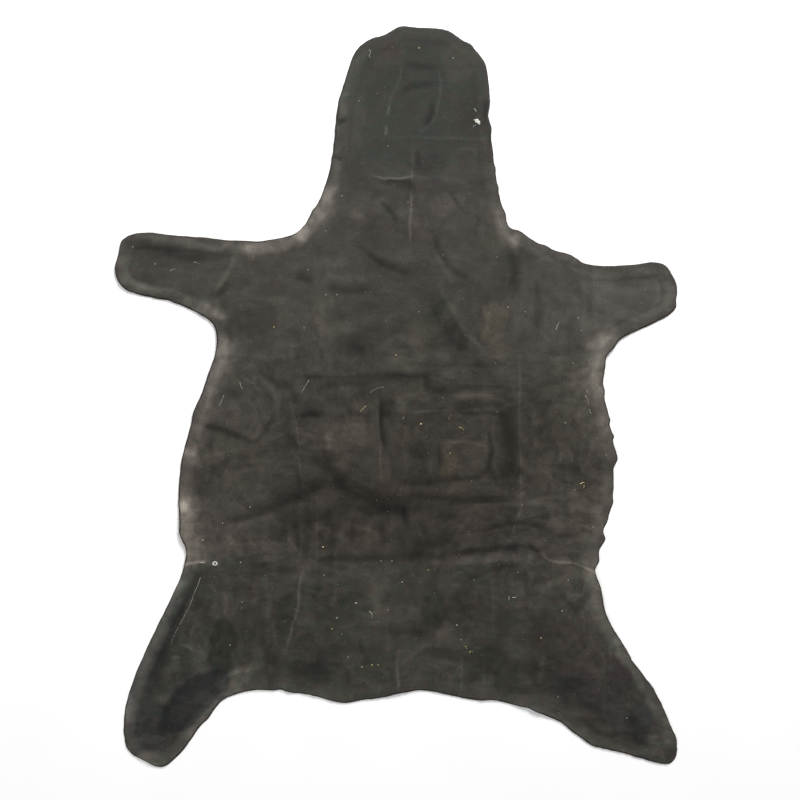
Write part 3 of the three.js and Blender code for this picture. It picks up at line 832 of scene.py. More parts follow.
    ("dark low on the left flank", 248, 513, 26, 6, 10, 0.5, 0.87, 0.86, 0.85),
    # This row and the next: painted shade beside the hip crest and the hip fold
    ("dark by the hip crest", 487, 538, 12, 8, 0, 0.4, 0.78, 0.77, 0.76),
    ("dark before the hip fold", 455, 557, 20, 5, 0, 0.4, 0.82, 0.81, 0.8),
    ("dark before the right hip", 547, 531, 10, 14, 0, 0.4, 0.87, 0.86, 0.85),
    ("green low on the flank", 230, 560, 8, 9, 0, 0.4, 0.76, 0.82, 0.78),
    ("dark by the left hip", 300, 571, 26, 6, 0, 0.4, 0.87, 0.86, 0.85),
    ("pale rump left", 267, 607, 8, 14, 0, 0.5, 1.15, 1.14, 1.12),
    ("dark left of the rump", 287, 636, 8, 14, 0, 0.5, 0.85, 0.86, 0.85),
    ("left thigh edge", 207, 649, 6, 13, 0, 0.4, 0.76, 0.79, 0.76),
    ("dark right of the croup", 454, 611, 12, 15, 0, 0.3, 0.78, 0.75, 0.75),
    ("pale rump middle", 449, 635, 15, 6, 0, 0.4, 1.22, 1.21, 1.19),
    ("dark rump right", 563, 630, 9, 14, 0, 0.4, 0.82, 0.8, 0.8),
    ("dark on the right thigh", 578, 661, 12, 10, 0, 0.4, 0.83, 0.81, 0.81),
    ("dark low on the right thigh", 572, 697, 14, 7, -30, 0.4, 0.82, 0.8, 0.8),
    ("tip of the toe", 671, 756, 7, 5, 0, 0.5, 0.7, 0.7, 0.72),
    ("pale under the toe", 650, 756, 9, 5, 0, 0.5, 1.2, 1.2, 1.2),
    ("dark by the cheek", 488, 109, 6, 8, 0, 0.5, 0.78, 0.77, 0.78),
    ("dark under the cheek", 490, 137, 4, 9, 0, 0.5, 0.74, 0.73, 0.74),
    ("dark at the neck's edge", 497, 213, 6, 7, 0, 0.5, 0.78, 0.77, 0.77),
    ("dark under the foreleg", 168, 299, 14, 5, 0, 0.5, 0.75, 0.75, 0.75),
    ("pale by the armpit", 220, 313, 7, 8, 0, 0.5, 1.2, 1.2, 1.19),
    # This row and the next: painted shade in the chest's fold and over the hip fold
    ("dark fold of the chest", 456, 345, 10, 20, 0, 0.5, 0.88, 0.87, 0.87),
    ("dark over the hip fold", 433, 560, 26, 6, 0, 0.5, 0.86, 0.85, 0.84),
    ("dark on the croup", 427, 587, 10, 7, 0, 0.5, 0.8, 0.8, 0.79),
    ("dark on the heel", 143, 717, 12, 8, 0, 0.5, 0.84, 0.85, 0.87),
    ("pale low right", 460, 533, 14, 8, 0, 0.5, 1.14, 1.13, 1.12),
    ("pale by the flank's rim", 207, 527, 12, 10, 0, 0.5, 1.13, 1.12, 1.11),
    ("dark rump top", 312, 592, 11, 22, 0, 0.5, 0.85, 0.86, 0.85),
    # painted shade behind the hip fold
    ("dark behind the hip fold", 437, 588, 12, 14, 0, 0.5, 0.87, 0.88, 0.87),
    ("dark rump left", 242, 614, 9, 10, 0, 0.4, 0.82, 0.81, 0.8),
    ("pale rump rim", 366, 688, 18, 7, 0, 0.5, 1.22, 1.22, 1.2),
    ("dark mass", 362, 500, 50, 13, -16, 0.5, 0.86, 0.85, 0.84),
]
print(len(PATCHES), "patches")

# %% Pale rims
PALE_RIMS = [
    # line in photo pixels, half width in pixels, gain at its middle
    ([(340, 145), (337, 165), (333, 185)], 5, 1.6),
    ([(329, 194), (325, 206), (316, 220), (308, 228)], 9, 2.9),
    ([(304, 234), (280, 243), (250, 247)], 7, 2.5),
    ([(250, 246), (215, 246), (170, 240), (135, 239)], 5, 1.8),
    ([(362, 54), (350, 76), (344, 92)], 4, 1.3),
    ([(344, 92), (340, 112), (337, 134)], 4, 1.6),
    ([(120, 262), (125, 281), (140, 288)], 6, 1.8),
    ([(138, 288), (165, 296), (205, 312)], 6, 1.35),
    ([(206, 306), (221, 316)], 8, 2.7),
    ([(222, 347), (220, 361), (215, 376), (208, 388)], 10, 3.1),
    ([(206, 408), (198, 430), (190, 454)], 9, 2.45),
    ([(189, 456), (184, 480), (182, 505)], 8, 2.05),
    ([(184, 508), (187, 532), (191, 552)], 13, 3.1),
    ([(492, 170), (496, 195)], 5, 1.35),
    ([(500, 214), (504, 228), (513, 240)], 8, 2.9),
    ([(516, 239), (545, 251), (575, 261)], 7, 1.55),
    ([(580, 264), (620, 266), (660, 268)], 5, 1.26),
    ([(668, 275), (672, 292), (665, 310), (630, 326)], 6, 1.42),
    ([(606, 338), (600, 350), (597, 372), (598, 388)], 10, 2.65),
    ([(600, 404), (605, 425), (608, 448)], 10, 1.9),
    ([(608, 486), (601, 510), (596, 540), (592, 562)], 10, 1.9),
    ([(592, 575), (595, 595), (602, 614)], 9, 2.0),
    ([(606, 626), (622, 655), (640, 685)], 6, 1.95),
    ([(650, 700), (666, 722), (672, 738)], 6, 1.65),
    ([(182, 578), (171, 604)], 8, 1.5),
    ([(183, 575), (160, 622), (140, 670), (130, 712)], 9, 1.92),
    ([(128, 716), (131, 750), (148, 762)], 7, 1.3),
    ([(180, 750), (205, 717), (232, 695)], 8, 1.8),
    ([(238, 690), (280, 686), (320, 692), (350, 697)], 5, 1.28),
    ([(352, 700), (400, 692), (450, 694), (500, 699)], 4, 0.94),
    ([(505, 701), (550, 715), (590, 743)], 5, 1.6),
    ([(595, 744), (640, 754), (672, 758)], 5, 1.06),
]
print(len(PALE_RIMS), "pale rims")


# %% How much of a patch is felt
def patch_share(places, x, y, rx, ry, turn, softness):
    """How much of a patch is felt at each place, from 0 outside to 1 at its heart."""
    away = (places - on_rug((x, y))) / PIXEL
    c, s = math.cos(math.radians(turn)), math.sin(math.radians(turn))
    u = (away[:, 0] * c + away[:, 1] * s) / rx
    v = (away[:, 1] * c - away[:, 0] * s) / ry
    return soft_step((1 + softness / 2 - np.hypot(u, v)) / softness)


# %% [markdown]
# ## The felt lining
#
# The lining is one piece of felt with its edge turned under, so a band along the edge
# is twice as thick. Its squares are too coarse for narrow creases, so the upper faces are
# split where such a crease runs, and nowhere else. The lower side is never seen, so its
# faces are merged wherever it is nearly flat. Both keep the mesh light.

# %% Sizes of the lining
FELT = 1.6 * MM
SEWN_GAP = 0.3 * MM
LINING_SET_BACK = 4 * MM
HEM_LINE = 40 * MM  # from the edge of the skin
LINING_SQUARE = 6.8 * MM

skin_tree = tree_of(skin_edge)
inward = across_edge(skin_edge)
set_back = LINING_SET_BACK + 1.3 * MM * cloud(skin_edge, 24 * MM, 33)
set_back += 0.8 * MM * cloud(skin_edge, 9 * MM, 34)
lining_edge = averaged(skin_edge + inward * set_back[:, None], 2)
print("the skin shows by", round(set_back.min() / MM, 1), "to", round(set_back.max() / MM, 1), "mm")


def depth_in(places):
    """How far in from the edge of the skin each place lies."""
    return nearest_on(skin_tree, places)[1]


# %% From a flat sheet to a thin solid
WALL_ROWS = 3  # rows of points between the wall's upper and lower edge
SPLIT_FROM = 0.3  # the share of a crease from which a face is split
SPLIT_CUTS = 2
NEARLY_FLAT = math.radians(2)


def places_of(bm):
    return np.array([v.co.xy for v in bm.verts])


def thin_solid(bm):
    """Extrudes a flat sheet and gives each point its rise, from 0 below to 1 above."""
    rise = bm.verts.layers.float.new("rise")
    made = bmesh.ops.extrude_face_region(bm, geom=bm.faces[:])
    for vert in made["geom"]:
        if isinstance(vert, bmesh.types.BMVert):
            vert[rise] = 1
    wall = [e for e in bm.edges if abs(e.verts[0][rise] - e.verts[1][rise]) > 0.5]
    bmesh.ops.subdivide_edges(bm, edges=wall, cuts=WALL_ROWS)
    return rise


def refine(bm, rise, shares):
    """Splits the upper faces where any corner's share is high."""
    edges = set()
    for face in bm.faces:
        above = all(v[rise] > 0.99 for v in face.verts)
        if above and max(shares[v.index] for v in face.verts) > SPLIT_FROM:
            edges.update(face.edges)
    edges = sorted(edges, key=lambda e: e.index)
    bmesh.ops.subdivide_edges(bm, edges=edges, cuts=SPLIT_CUTS, use_grid_fill=True)
    triangulate_large(bm)


def numbered(bm):
    """Brings the numbers of a mesh's points and edges up to date."""
    bm.verts.index_update()
    bm.edges.index_update()
    bm.verts.ensure_lookup_table()


def thin_out_below(bm, rise):
    """Merges faces of the hidden lower side wherever it is nearly flat."""
    for vert, z in zip(bm.verts, lift(places_of(bm))):
        vert.co.z = z + vert[rise] * FELT
    below = {v for v in bm.verts if v[rise] < 0.01}
    hidden = {v for v in below if all(e.other_vert(v) in below for e in v.link_edges)}
    verts = [v for v in bm.verts if v in hidden]
    edges = [e for e in bm.edges if hidden.issuperset(e.verts)]
    bmesh.ops.dissolve_limit(bm, angle_limit=NEARLY_FLAT, verts=verts, edges=edges)
    triangulate_large(bm)


# %% The lining's mesh
NARROW = 5  # the half width in mm of the widest crest that needs split faces
NARROWEST = 4.5  # crests count as at least this wide there

lining_bm = flat_sheet(lining_edge, LINING_SQUARE)
lining_rise = thin_solid(lining_bm)
thin_out_below(lining_bm, lining_rise)
numbered(lining_bm)
at = places_of(lining_bm)
narrow = [line_share(at, line, max(width, NARROWEST)) for line, width, _, _ in CRESTS if width <= NARROW]
refine(lining_bm, lining_rise, np.max(narrow, axis=0))
numbered(lining_bm)
print("lining:", len(lining_bm.verts), "points,", len(lining_bm.faces), "faces")

# %% [markdown]
# ## How high the felt stands
#
# The felt lies on the CAD's folds. To these come the doubled hem, strokes and crossing
# facets where the felt is creased, soft swells of several sizes, and the lines of the two
# tables. The lines are drawn at places that are stirred a little, so none is quite smooth.
# The felt is creased most behind the shoulders and least on the head, and the hem stays
# flatter. Round the waist its small strokes lie more across the rug than along it.

# %% Where the felt is creased, and which way
at = places_of(lining_bm)
headward = at[:, 1]
rise = np.array([v[lining_rise] for v in lining_bm.verts])
depth = depth_in(at)
uneven = stirred(at, (3, 60, 11), (1.2, 14, 21))
hem_line = HEM_LINE + 3 * MM * cloud(at, 110 * MM, 31)
hem = soft_step((hem_line + 5 * MM - depth) / (10 * MM))

waist = soft_step((0.1 - np.abs(headward)) / 0.2)
lies_across = soft_step(0.5 + 2.2 * cloud(at, 150 * MM, 75) + 0.5 * waist)
creased = soft_step((0.32 - headward) / 0.4) * (0.75 + 0.35 * cloud(at, 200 * MM, 76)) * (1 - 0.6 * hem)
creased = np.clip(0.35 + 0.25 * soft_step((0.78 - headward) / 0.2) + 0.65 * creased, 0, 1.25)
crossing = crumpled(at, (4, 93, 38, 97, -2, -52), (64, 78, 120, 44, 38, 96), 77)
strokes = 0.055 * firm(cloud(uneven * (0.35, 1), 18 * MM, 71)) * lies_across
strokes += 0.055 * firm(cloud(uneven * (1, 0.4), 20 * MM, 73)) * (1 - lies_across)
print("creased by", creased.min().round(2), "to", creased.max().round(2))

# %% Its height
VALLEY_SPREAD = 1.12  # the half widths of valleys are stretched by this
WIDE_VALLEY = 9  # the half width in mm above which a valley has a steeper side
STEEP_SIDE = 0.5  # that side's width, as a share of the other side's

raised = hem * FELT * 0.95
raised += creased * (3.2 * MM * strokes + 0.75 * MM * crossing)
raised += 0.5 * MM * hem * cloud(at, 26 * MM, 41)
raised += 0.35 * MM * cloud(at, 45 * MM, 43) + 0.7 * MM * cloud(at, 120 * MM, 45)
line_shares = [line_share(uneven, line, width) for line, width, _, _ in CRESTS]
for line, width, _, _ in VALLEYS:
    steep = STEEP_SIDE if width > WIDE_VALLEY else 1
    line_shares.append(line_share(uneven, line, VALLEY_SPREAD * width, steep))
for share, (_, _, crest_height, _) in zip(line_shares, CRESTS + VALLEYS):
    raised += share * crest_height * MM
raised = np.maximum(raised, -0.5 * FELT)
height = lift(at) + HIDE_THICKNESS + SEWN_GAP + rise * (FELT + raised)
print("the felt rises to", round(height.max() / MM, 1), "mm above the floor")

# %% Its rounded rim
RIM_NEARNESS = 0.8 * MM  # points closer than this to the outline are on the side wall


def drawn_in(rise, to_edge, most):
    """How far in each point of the side wall moves, so that its two edges become round."""
    round_off = 1 - np.sqrt(1 - np.clip(2 * rise - 1, -1, 1) ** 2)
    return np.where(to_edge < RIM_NEARNESS, round_off * most, 0)[:, None]


def set_points(bm, places, heights):
    for vert, (x, y), z in zip(bm.verts, places, heights):
        vert.co = (x, y, z)


to_edge = nearest_on(tree_of(lining_edge), at)[1]
rim_inward = inward[nearest_on(skin_tree, at)[0]]
set_points(lining_bm, at + rim_inward * drawn_in(rise, to_edge, 0.9 * FELT), height)
print("points on the lining's wall:", np.sum(to_edge < RIM_NEARNESS))

# %% [markdown]
# ## The felt's colour
# The large changes of tone are worked out once for each point of the mesh and kept in a colour attribute.
# They multiply: felt, then patches, pale rims, lines, the hem, a little random mottling, and a slow change
# from warm at the rump to cool at the head. Besides stains and dust, the lines and some patches carry painted
# shade in valleys and folds and painted highlight on crests. The shader adds what is too fine for the mesh.
# Three more values are kept to steer it: how creased the felt is, how far its small flats lie across the rug,
# and how green it is.

# %% Tone at each point
FELT_COLOUR = (0.0465, 0.0434, 0.0375)
WARM = (1.012, 1.0, 0.988)  # gains of red, green and blue at the rump
WARM_TO_COOL = (-0.03, 0.008, 0.022)  # what is added to them towards the head
LINE_CONTRAST = 1.45  # the power to which the tones of the lines are raised
HEM_SHOWS = [
    # x, y and radii in photo pixels, turn in degrees
    (165, 650, 60, 120, -20), (165, 275, 60, 50, 0), (640, 295, 50, 50, 0), (640, 720, 60, 60, 0),
]
MOTTLING = [
    # size in mm, strength, seed
    (240, 0.05, 61), (85, 0.08, 63), (36, 0.07, 65), (18, 0.05, 67),
]

tone = np.ones((len(at), 3))
blotchy = stirred(at, (9, 70, 51), (7, 26, 53), (3, 13, 55))
for _, x, y, rx, ry, turn, softness, *gains in PATCHES:
    share = patch_share(blotchy, x, y, rx, ry, turn, softness)
    tone *= 1 + share[:, None] * (np.array(gains) - 1)
# The felt is made paler along the rim lines, by more in some places than in others.
uneven_paleness = 0.8 + 0.3 * cloud(at, 34 * MM, 57) + 0.25 * cloud(at, 14 * MM, 58)
for line, width, gain in PALE_RIMS:
    distance = from_line(blotchy, on_rug(line))[0]
    share = np.exp(-((distance / (width * PIXEL)) ** 2)) * uneven_paleness
    tone *= 1 + share[:, None] * (gain - 1)
# The lines' tones: painted shade in the valleys, and dust with painted highlight on the crests.
for share, (_, _, _, gain) in zip(line_shares, CRESTS + VALLEYS):
    tone *= gain ** (LINE_CONTRAST * share[:, None])
print("tone by the tables, least and most:", tone.min().round(2), tone.max().round(2))

# %% Tone of the hem, mottling and tinge
tone *= 1 + 0.08 * hem[:, None]
on_leg = np.max([patch_share(at, *leg, 0.6) for leg in HEM_SHOWS], axis=0)
beside_hem = np.exp(-(((depth - hem_line - 4 * MM) / (6 * MM)) ** 2))
tone *= 1 - ((0.07 + 0.13 * on_leg) * beside_hem)[:, None]
for size, strength, seed in MOTTLING:
    tone *= 1 + (strength * creased * firm(cloud(blotchy, size * MM, seed)))[:, None]
tone *= 1 + (creased * (strokes + 0.035 * crossing))[:, None]
on_head = patch_share(blotchy, 412, 110, 90, 80, 0, 0.6)
on_rump = soft_step((-0.42 - headward) / 0.15)
greenish = -0.14 + 0.46 * on_head + 0.4 * on_rump + 0.12 * cloud(at, 120 * MM, 79)
tone *= WARM + soft_step((headward + 0.15) / 0.4)[:, None] * WARM_TO_COOL
felt_tone = np.array(FELT_COLOUR) * tone
print("felt tone, least and most:", felt_tone.min(0).round(3), felt_tone.max(0).round(3))

# %% The lining as an object
def to_object(bm, name, smooth=True):
    mesh = bpy.data.meshes.new(name)
    bmesh.ops.recalc_face_normals(bm, faces=bm.faces)
    bm.to_mesh(mesh)
    bm.free()
    if smooth:
        mesh.shade_smooth()
    piece = bpy.data.objects.new(name, mesh)
    bpy.context.scene.collection.objects.link(piece)
    triangles = sum(len(p.vertices) - 2 for p in mesh.polygons)
    print(name, "has", triangles, "triangles")
    return piece


def add_colours(piece, name, colours):
    """Keeps a colour for each point on the mesh."""
    layer = piece.data.attributes.new(name, "FLOAT_COLOR", "POINT")
    rgba = np.concatenate([colours, np.ones((len(colours), 1))], axis=1)
    layer.data.foreach_set("color", rgba.astype(np.float32).ravel())


def add_values(piece, name, values):
    """Keeps a number for each point on the mesh."""
    layer = piece.data.attributes.new(name, "FLOAT", "POINT")
    layer.data.foreach_set("value", np.asarray(values, np.float32))


felt_tree = BVHTree.FromBMesh(lining_bm)
lining = to_object(lining_bm, "felt_lining")
add_colours(lining, "felt_tone", felt_tone)
add_values(lining, "creased", creased)
add_values(lining, "lies_across", lies_across)
add_values(lining, "greenish", greenish)
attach(lining, "root")
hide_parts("lining")

# %% [markdown]
# ## Shader helpers
#
# Effects that more than one finish uses are node groups: a group is built once and put
# into each material with its own sizes. These helpers only save typing.

# %% Nodes by name
def set_inputs(tree, node, **inputs):
    """Links or sets inputs, each by its name with _ for spaces, or by i and its number."""
    for key, value in inputs.items():
        has_number = key[0] == "i" and key[1:].isdigit()
        socket = node.inputs[int(key[1:]) if has_number else key.replace("_", " ")]
        if isinstance(value, bpy.types.NodeSocket):
            tree.links.new(value, socket)
        else:
            socket.default_value = value


def add_node(tree, kind, settings=None, **inputs):
    node = tree.nodes.new("ShaderNode" + kind)
    for key, value in (settings or {}).items():
        setattr(node, key, value)
    set_inputs(tree, node, **inputs)
    return node


def place_group(tree, group, **inputs):
    return add_node(tree, "Group", {"node_tree": group}, **inputs)


def maths(tree, operation, a, b=0.0, c=0.0):
    return add_node(tree, "Math", {"operation": operation}, i0=a, i1=b, i2=c).outputs[0]


def vector_maths(tree, operation, a, b):
    return add_node(tree, "VectorMath", {"operation": operation}, i0=a, i1=b).outputs[0]


def multiplied(tree, colour, factor):
    return add_node(tree, "VectorMath", {"operation": "SCALE"}, i0=colour, Scale=factor).outputs[0]


def ranged(tree, value, low, high, to_low=0.0, to_high=1.0):
    """A value's place between low and high, as a smooth step from one result to another."""
    return add_node(tree, "MapRange", {"interpolation_type": "SMOOTHSTEP"}, Value=value, From_Min=low,
                    From_Max=high, To_Min=to_low, To_Max=to_high).outputs["Result"]


def mixed(tree, share, one, two):
    """One colour, and another as far as the share says."""
    return add_node(tree, "Mix", {"data_type": "RGBA"}, i0=share, i6=one, i7=two).outputs[2]


def new_group(name, inputs, outputs):
    """A shader group with named sockets: each input is (name, kind, default)."""
    group = bpy.data.node_groups.new(name, "ShaderNodeTree")
    for label, kind, default in inputs:
        socket = group.interface.new_socket(label, in_out="INPUT", socket_type="NodeSocket" + kind)
        if default is not None:
            socket.default_value = default
    for label, kind in outputs:
        group.interface.new_socket(label, in_out="OUTPUT", socket_type="NodeSocket" + kind)
    return group, group.nodes.new("NodeGroupInput"), group.nodes.new("NodeGroupOutput")


# %% [markdown]
# ## Nap: short fibres that lie one way
#
# Felt and hair both show fine grain that is longer one way than the other. The group
# stretches its noise along Y, and gives a fine grain, a streak and a height for bump.

# %% The nap group
nap_group, nap_in, nap_out = new_group(
    "nap",
    [("Vector", "Vector", None), ("Fibre Scale", "Float", 900.0), ("Stretch", "Float", 0.3)],
    [("Grain", "Float"), ("Streak", "Float"), ("Height", "Float")],
)
nap_at, fibre_scale = nap_in.outputs["Vector"], nap_in.outputs["Fibre Scale"]
squeeze = add_node(nap_group, "CombineXYZ", X=1.0, Y=nap_in.outputs["Stretch"], Z=1.0)
lying = vector_maths(nap_group, "MULTIPLY", nap_at, squeeze.outputs[0])
grain = add_node(nap_group, "TexNoise", Vector=nap_at, Scale=fibre_scale, Detail=3.0, Roughness=0.65)
streak_scale = maths(nap_group, "MULTIPLY", fibre_scale, 0.45)
streak = add_node(nap_group, "TexNoise", Vector=lying, Scale=streak_scale, Detail=2.0, Roughness=0.6)
height_sum = maths(nap_group, "ADD", grain.outputs[0], streak.outputs[0])
set_inputs(nap_group, nap_out, Grain=grain.outputs[0], Streak=streak.outputs[0], Height=height_sum)
print("nap group:", len(nap_group.nodes), "nodes")

# %% [markdown]
# ## Specks: dust and broken fibres
#
# Each cell of a Voronoi texture may hold one tiny speck at its middle. Most cells stay
# empty: the cell's own random colour decides.

# %% The specks group
speck_group, speck_in, speck_out = new_group(
    "specks",
    [("Vector", "Vector", None), ("Cells", "Float", 90.0), ("Size", "Float", 0.06), ("Empty", "Float", 0.8)],
    [("Mask", "Float")],
)
cells = add_node(speck_group, "TexVoronoi",
                 Vector=speck_in.outputs["Vector"], Scale=speck_in.outputs["Cells"])
cell_colour = add_node(speck_group, "SeparateColor", Color=cells.outputs["Color"])
small = maths(speck_group, "LESS_THAN", cells.outputs["Distance"], speck_in.outputs["Size"])
chosen = maths(speck_group, "GREATER_THAN", cell_colour.outputs[0], speck_in.outputs["Empty"])
set_inputs(speck_group, speck_out, Mask=maths(speck_group, "MULTIPLY", small, chosen))
print("specks group:", len(speck_group.nodes), "nodes")

# %% [markdown]
# ## Flats: small facets between creases
#
# Cloth that was pressed while folded keeps small flats with fairly straight edges, each tilted a little its
# own way, so that the light makes it a little lighter or darker than its neighbours. A Voronoi texture gives
# each cell one value, and its Chebychev distance makes the cells nearly square. Noise that pushes the places
# about roughens their edges. The felt uses the group three times: for large flats, for small ones that lie
# across the rug, and for small ones that lie along it. Its tone is painted light and shade on the flats, and
# it raises the felt's bump too.

# %% The flats group
flats_group, flats_in, flats_out = new_group(
    "flats",
    [("Vector", "Vector", None), ("Along X", "Float", 0.6), ("Along Y", "Float", 1.0),
     ("Cells", "Float", 40.0), ("Push", "Float", 0.012)],
    [("Tone", "Float")],
)
flats_at, along_x, along_y, cell_count, push_far = flats_in.outputs[:5]
rough = add_node(flats_group, "TexNoise", Vector=flats_at, Scale=55.0, Detail=4.0, Roughness=0.65)
push = multiplied(flats_group, rough.outputs["Color"], push_far)
pushed = vector_maths(flats_group, "ADD", flats_at, push)
stretch = add_node(flats_group, "CombineXYZ", X=along_x, Y=along_y, Z=0.0)
drawn_out = vector_maths(flats_group, "MULTIPLY", pushed, stretch.outputs[0])
flat_cells = add_node(flats_group, "TexVoronoi", {"distance": "CHEBYCHEV", "voronoi_dimensions": "2D"},
                      Vector=drawn_out, Scale=cell_count, Randomness=0.85)
flat_value = add_node(flats_group, "SeparateColor", Color=flat_cells.outputs["Color"])
set_inputs(flats_group, flats_out, Tone=flat_value.outputs[0])
print("flats group:", len(flats_group.nodes), "nodes")

# %% [markdown]
# ## The felt's finish
#
# Brushed felt is matt, with a weak sheen at a low angle. Its base colour is the tone kept on the mesh.
# Mottling a few centimetres wide, the flats' painted light and shade, and pills vary it as far as the felt is
# creased there, and the nap varies it everywhere. It leans to green or to brown in patches, with more green
# where the mesh says so. Pale specks of dust lie on top. Bump raises the nap, the flats and the pills.

# %% Material helpers
def new_material(name):
    material = bpy.data.materials.new(name)
    material.use_nodes = True
    tree = material.node_tree
    return material, tree, tree.nodes["Principled BSDF"]


def kept(tree, name, output="Fac"):
    """What is kept on the mesh under that name, as a number or as a colour."""
    return add_node(tree, "Attribute", {"attribute_name": name}).outputs[output]


def times(tree, gain, value, *limits):
    """A gain multiplied by a noise that is brought between two limits."""
    return maths(tree, "MULTIPLY", gain, ranged(tree, value, *limits))


# %% The felt's gain
felt, tree, shader = new_material("brushed_felt")
where = add_node(tree, "TexCoord").outputs["Object"]
nap = place_group(tree, nap_group, Vector=where, Fibre_Scale=700.0, Stretch=0.35)
mottle = add_node(tree, "TexNoise", Vector=where, Scale=42.0, Detail=5.0, Roughness=0.62)
pills = add_node(tree, "TexNoise", Vector=where, Scale=190.0, Detail=3.0, Roughness=0.6)

large_flats = place_group(tree, flats_group, Vector=where, Along_X=0.7, Along_Y=1.0, Cells=24.0, Push=0.012)
flats_across = place_group(tree, flats_group, Vector=where, Along_X=0.42, Along_Y=1.0, Cells=72.0, Push=0.008)
flats_down = place_group(tree, flats_group, Vector=where, Along_X=1.0, Along_Y=0.5, Cells=70.0, Push=0.008)
small_flats = mixed(tree, kept(tree, "lies_across"), flats_down.outputs[0], flats_across.outputs[0])
flats = maths(tree, "ADD", large_flats.outputs[0], small_flats)

gain = ranged(tree, mottle.outputs[0], 0.3, 0.72, 0.9, 1.11)
# The flats lighten and darken the colour: painted light and shade on the flats.
gain = maths(tree, "MULTIPLY", gain, maths(tree, "MULTIPLY_ADD", flats, 0.27, 0.73))
gain = times(tree, gain, pills.outputs[0], 0.3, 0.75, 0.9, 1.1)
gain = maths(tree, "MULTIPLY_ADD", maths(tree, "SUBTRACT", gain, 1.0), kept(tree, "creased"), 1.0)
gain = times(tree, gain, nap.outputs["Grain"], 0.3, 0.7, 0.86, 1.14)
gain = times(tree, gain, nap.outputs["Streak"], 0.3, 0.7, 0.93, 1.07)
print("for the felt's gain:", len(tree.nodes), "nodes")

# %% The felt's colour and bump
BROWN_TINGE, GREEN_TINGE = (1.036, 0.985, 0.98, 1), (0.935, 1.02, 1.0, 1)
DUST = (0.34, 0.32, 0.27, 1)

tinge = add_node(tree, "TexNoise", Vector=where, Scale=34.0, Detail=3.0, Roughness=0.65)
greener = maths(tree, "MULTIPLY_ADD", kept(tree, "greenish"), 0.3, tinge.outputs[0])
tint = mixed(tree, ranged(tree, greener, 0.555, 0.635), BROWN_TINGE, GREEN_TINGE)
tinted = vector_maths(tree, "MULTIPLY", kept(tree, "felt_tone", "Color"), tint)
specks = place_group(tree, speck_group, Vector=where, Cells=70.0, Size=0.045, Empty=0.86)
dusty = maths(tree, "MULTIPLY", specks.outputs["Mask"], 0.5)
bump_height = maths(tree, "ADD", nap.outputs["Height"], maths(tree, "MULTIPLY", pills.outputs[0], 2.5))
bump_height = maths(tree, "MULTIPLY_ADD", flats, 0.8, bump_height)
bump = add_node(tree, "Bump", Height=bump_height, Strength=0.55, Distance=0.0006)
set_inputs(
    tree, shader,
    Base_Color=mixed(tree, dusty, multiplied(tree, tinted, gain), DUST),
    Roughness=ranged(tree, nap.outputs["Grain"], 0.2, 0.8, 0.86, 1.0),
    Specular_IOR_Level=0.15,
    Sheen_Weight=0.12,
    Sheen_Roughness=0.5,
    Normal=bump.outputs[0],
)
lining.data.materials.append(felt)
print("felt material:", len(tree.nodes), "nodes")

# %% [markdown]
# ## The skin with its hair
#
# Under the felt lies the tanned skin, hair side down. Its own cut edge shows all round
# as a thin dark line, about 4 mm wide. Its underside carries the stripes, which are not
# drawn one by one: each point keeps a phase that grows along the animal, and the shader
# turns that phase into bands of black and cream.

# %% The hide's shape
HIDE_SQUARE = 10 * MM

hide_bm = flat_sheet(skin_edge, HIDE_SQUARE)
hide_rise = thin_solid(hide_bm)
numbered(hide_bm)
at = places_of(hide_bm)
rise = np.array([v[hide_rise] for v in hide_bm.verts])
edge_numbers, to_edge = nearest_on(skin_tree, at)
at_rim = at + inward[edge_numbers] * drawn_in(rise, to_edge, 1.5 * MM)
set_points(hide_bm, at_rim, lift(at) + rise * HIDE_THICKNESS)
print("hide:", len(hide_bm.verts), "points,", len(hide_bm.faces), "faces")

# %% [markdown]
# ## How stripes run on a zebra's skin
#
# Bands cross the spine at right angles on the neck and body. Behind the last rib they
# swing backwards and grow broad over the rump. On the legs they ring the leg. Each part
# of the skin gets a phase of its own from a short table. The shader adds the body's wave
# and the leg's wave by soft shares, so that stripes fork where the two meet, and between
# the black bands of the rump it adds the faint brown ones.

# %% Phase of the stripes
BODY_BAND = 92 * MM  # one black and one cream band
LEGS = [
    # name, root and end of the leg in photo pixels, half width in pixels, band in mm
    ("left foreleg", (250, 275), (125, 270), 48, 44),
    ("right foreleg", (560, 300), (670, 290), 48, 44),
    ("left hind leg", (250, 560), (150, 745), 62, 58),
    ("right hind leg", (550, 560), (660, 745), 62, 58),
]


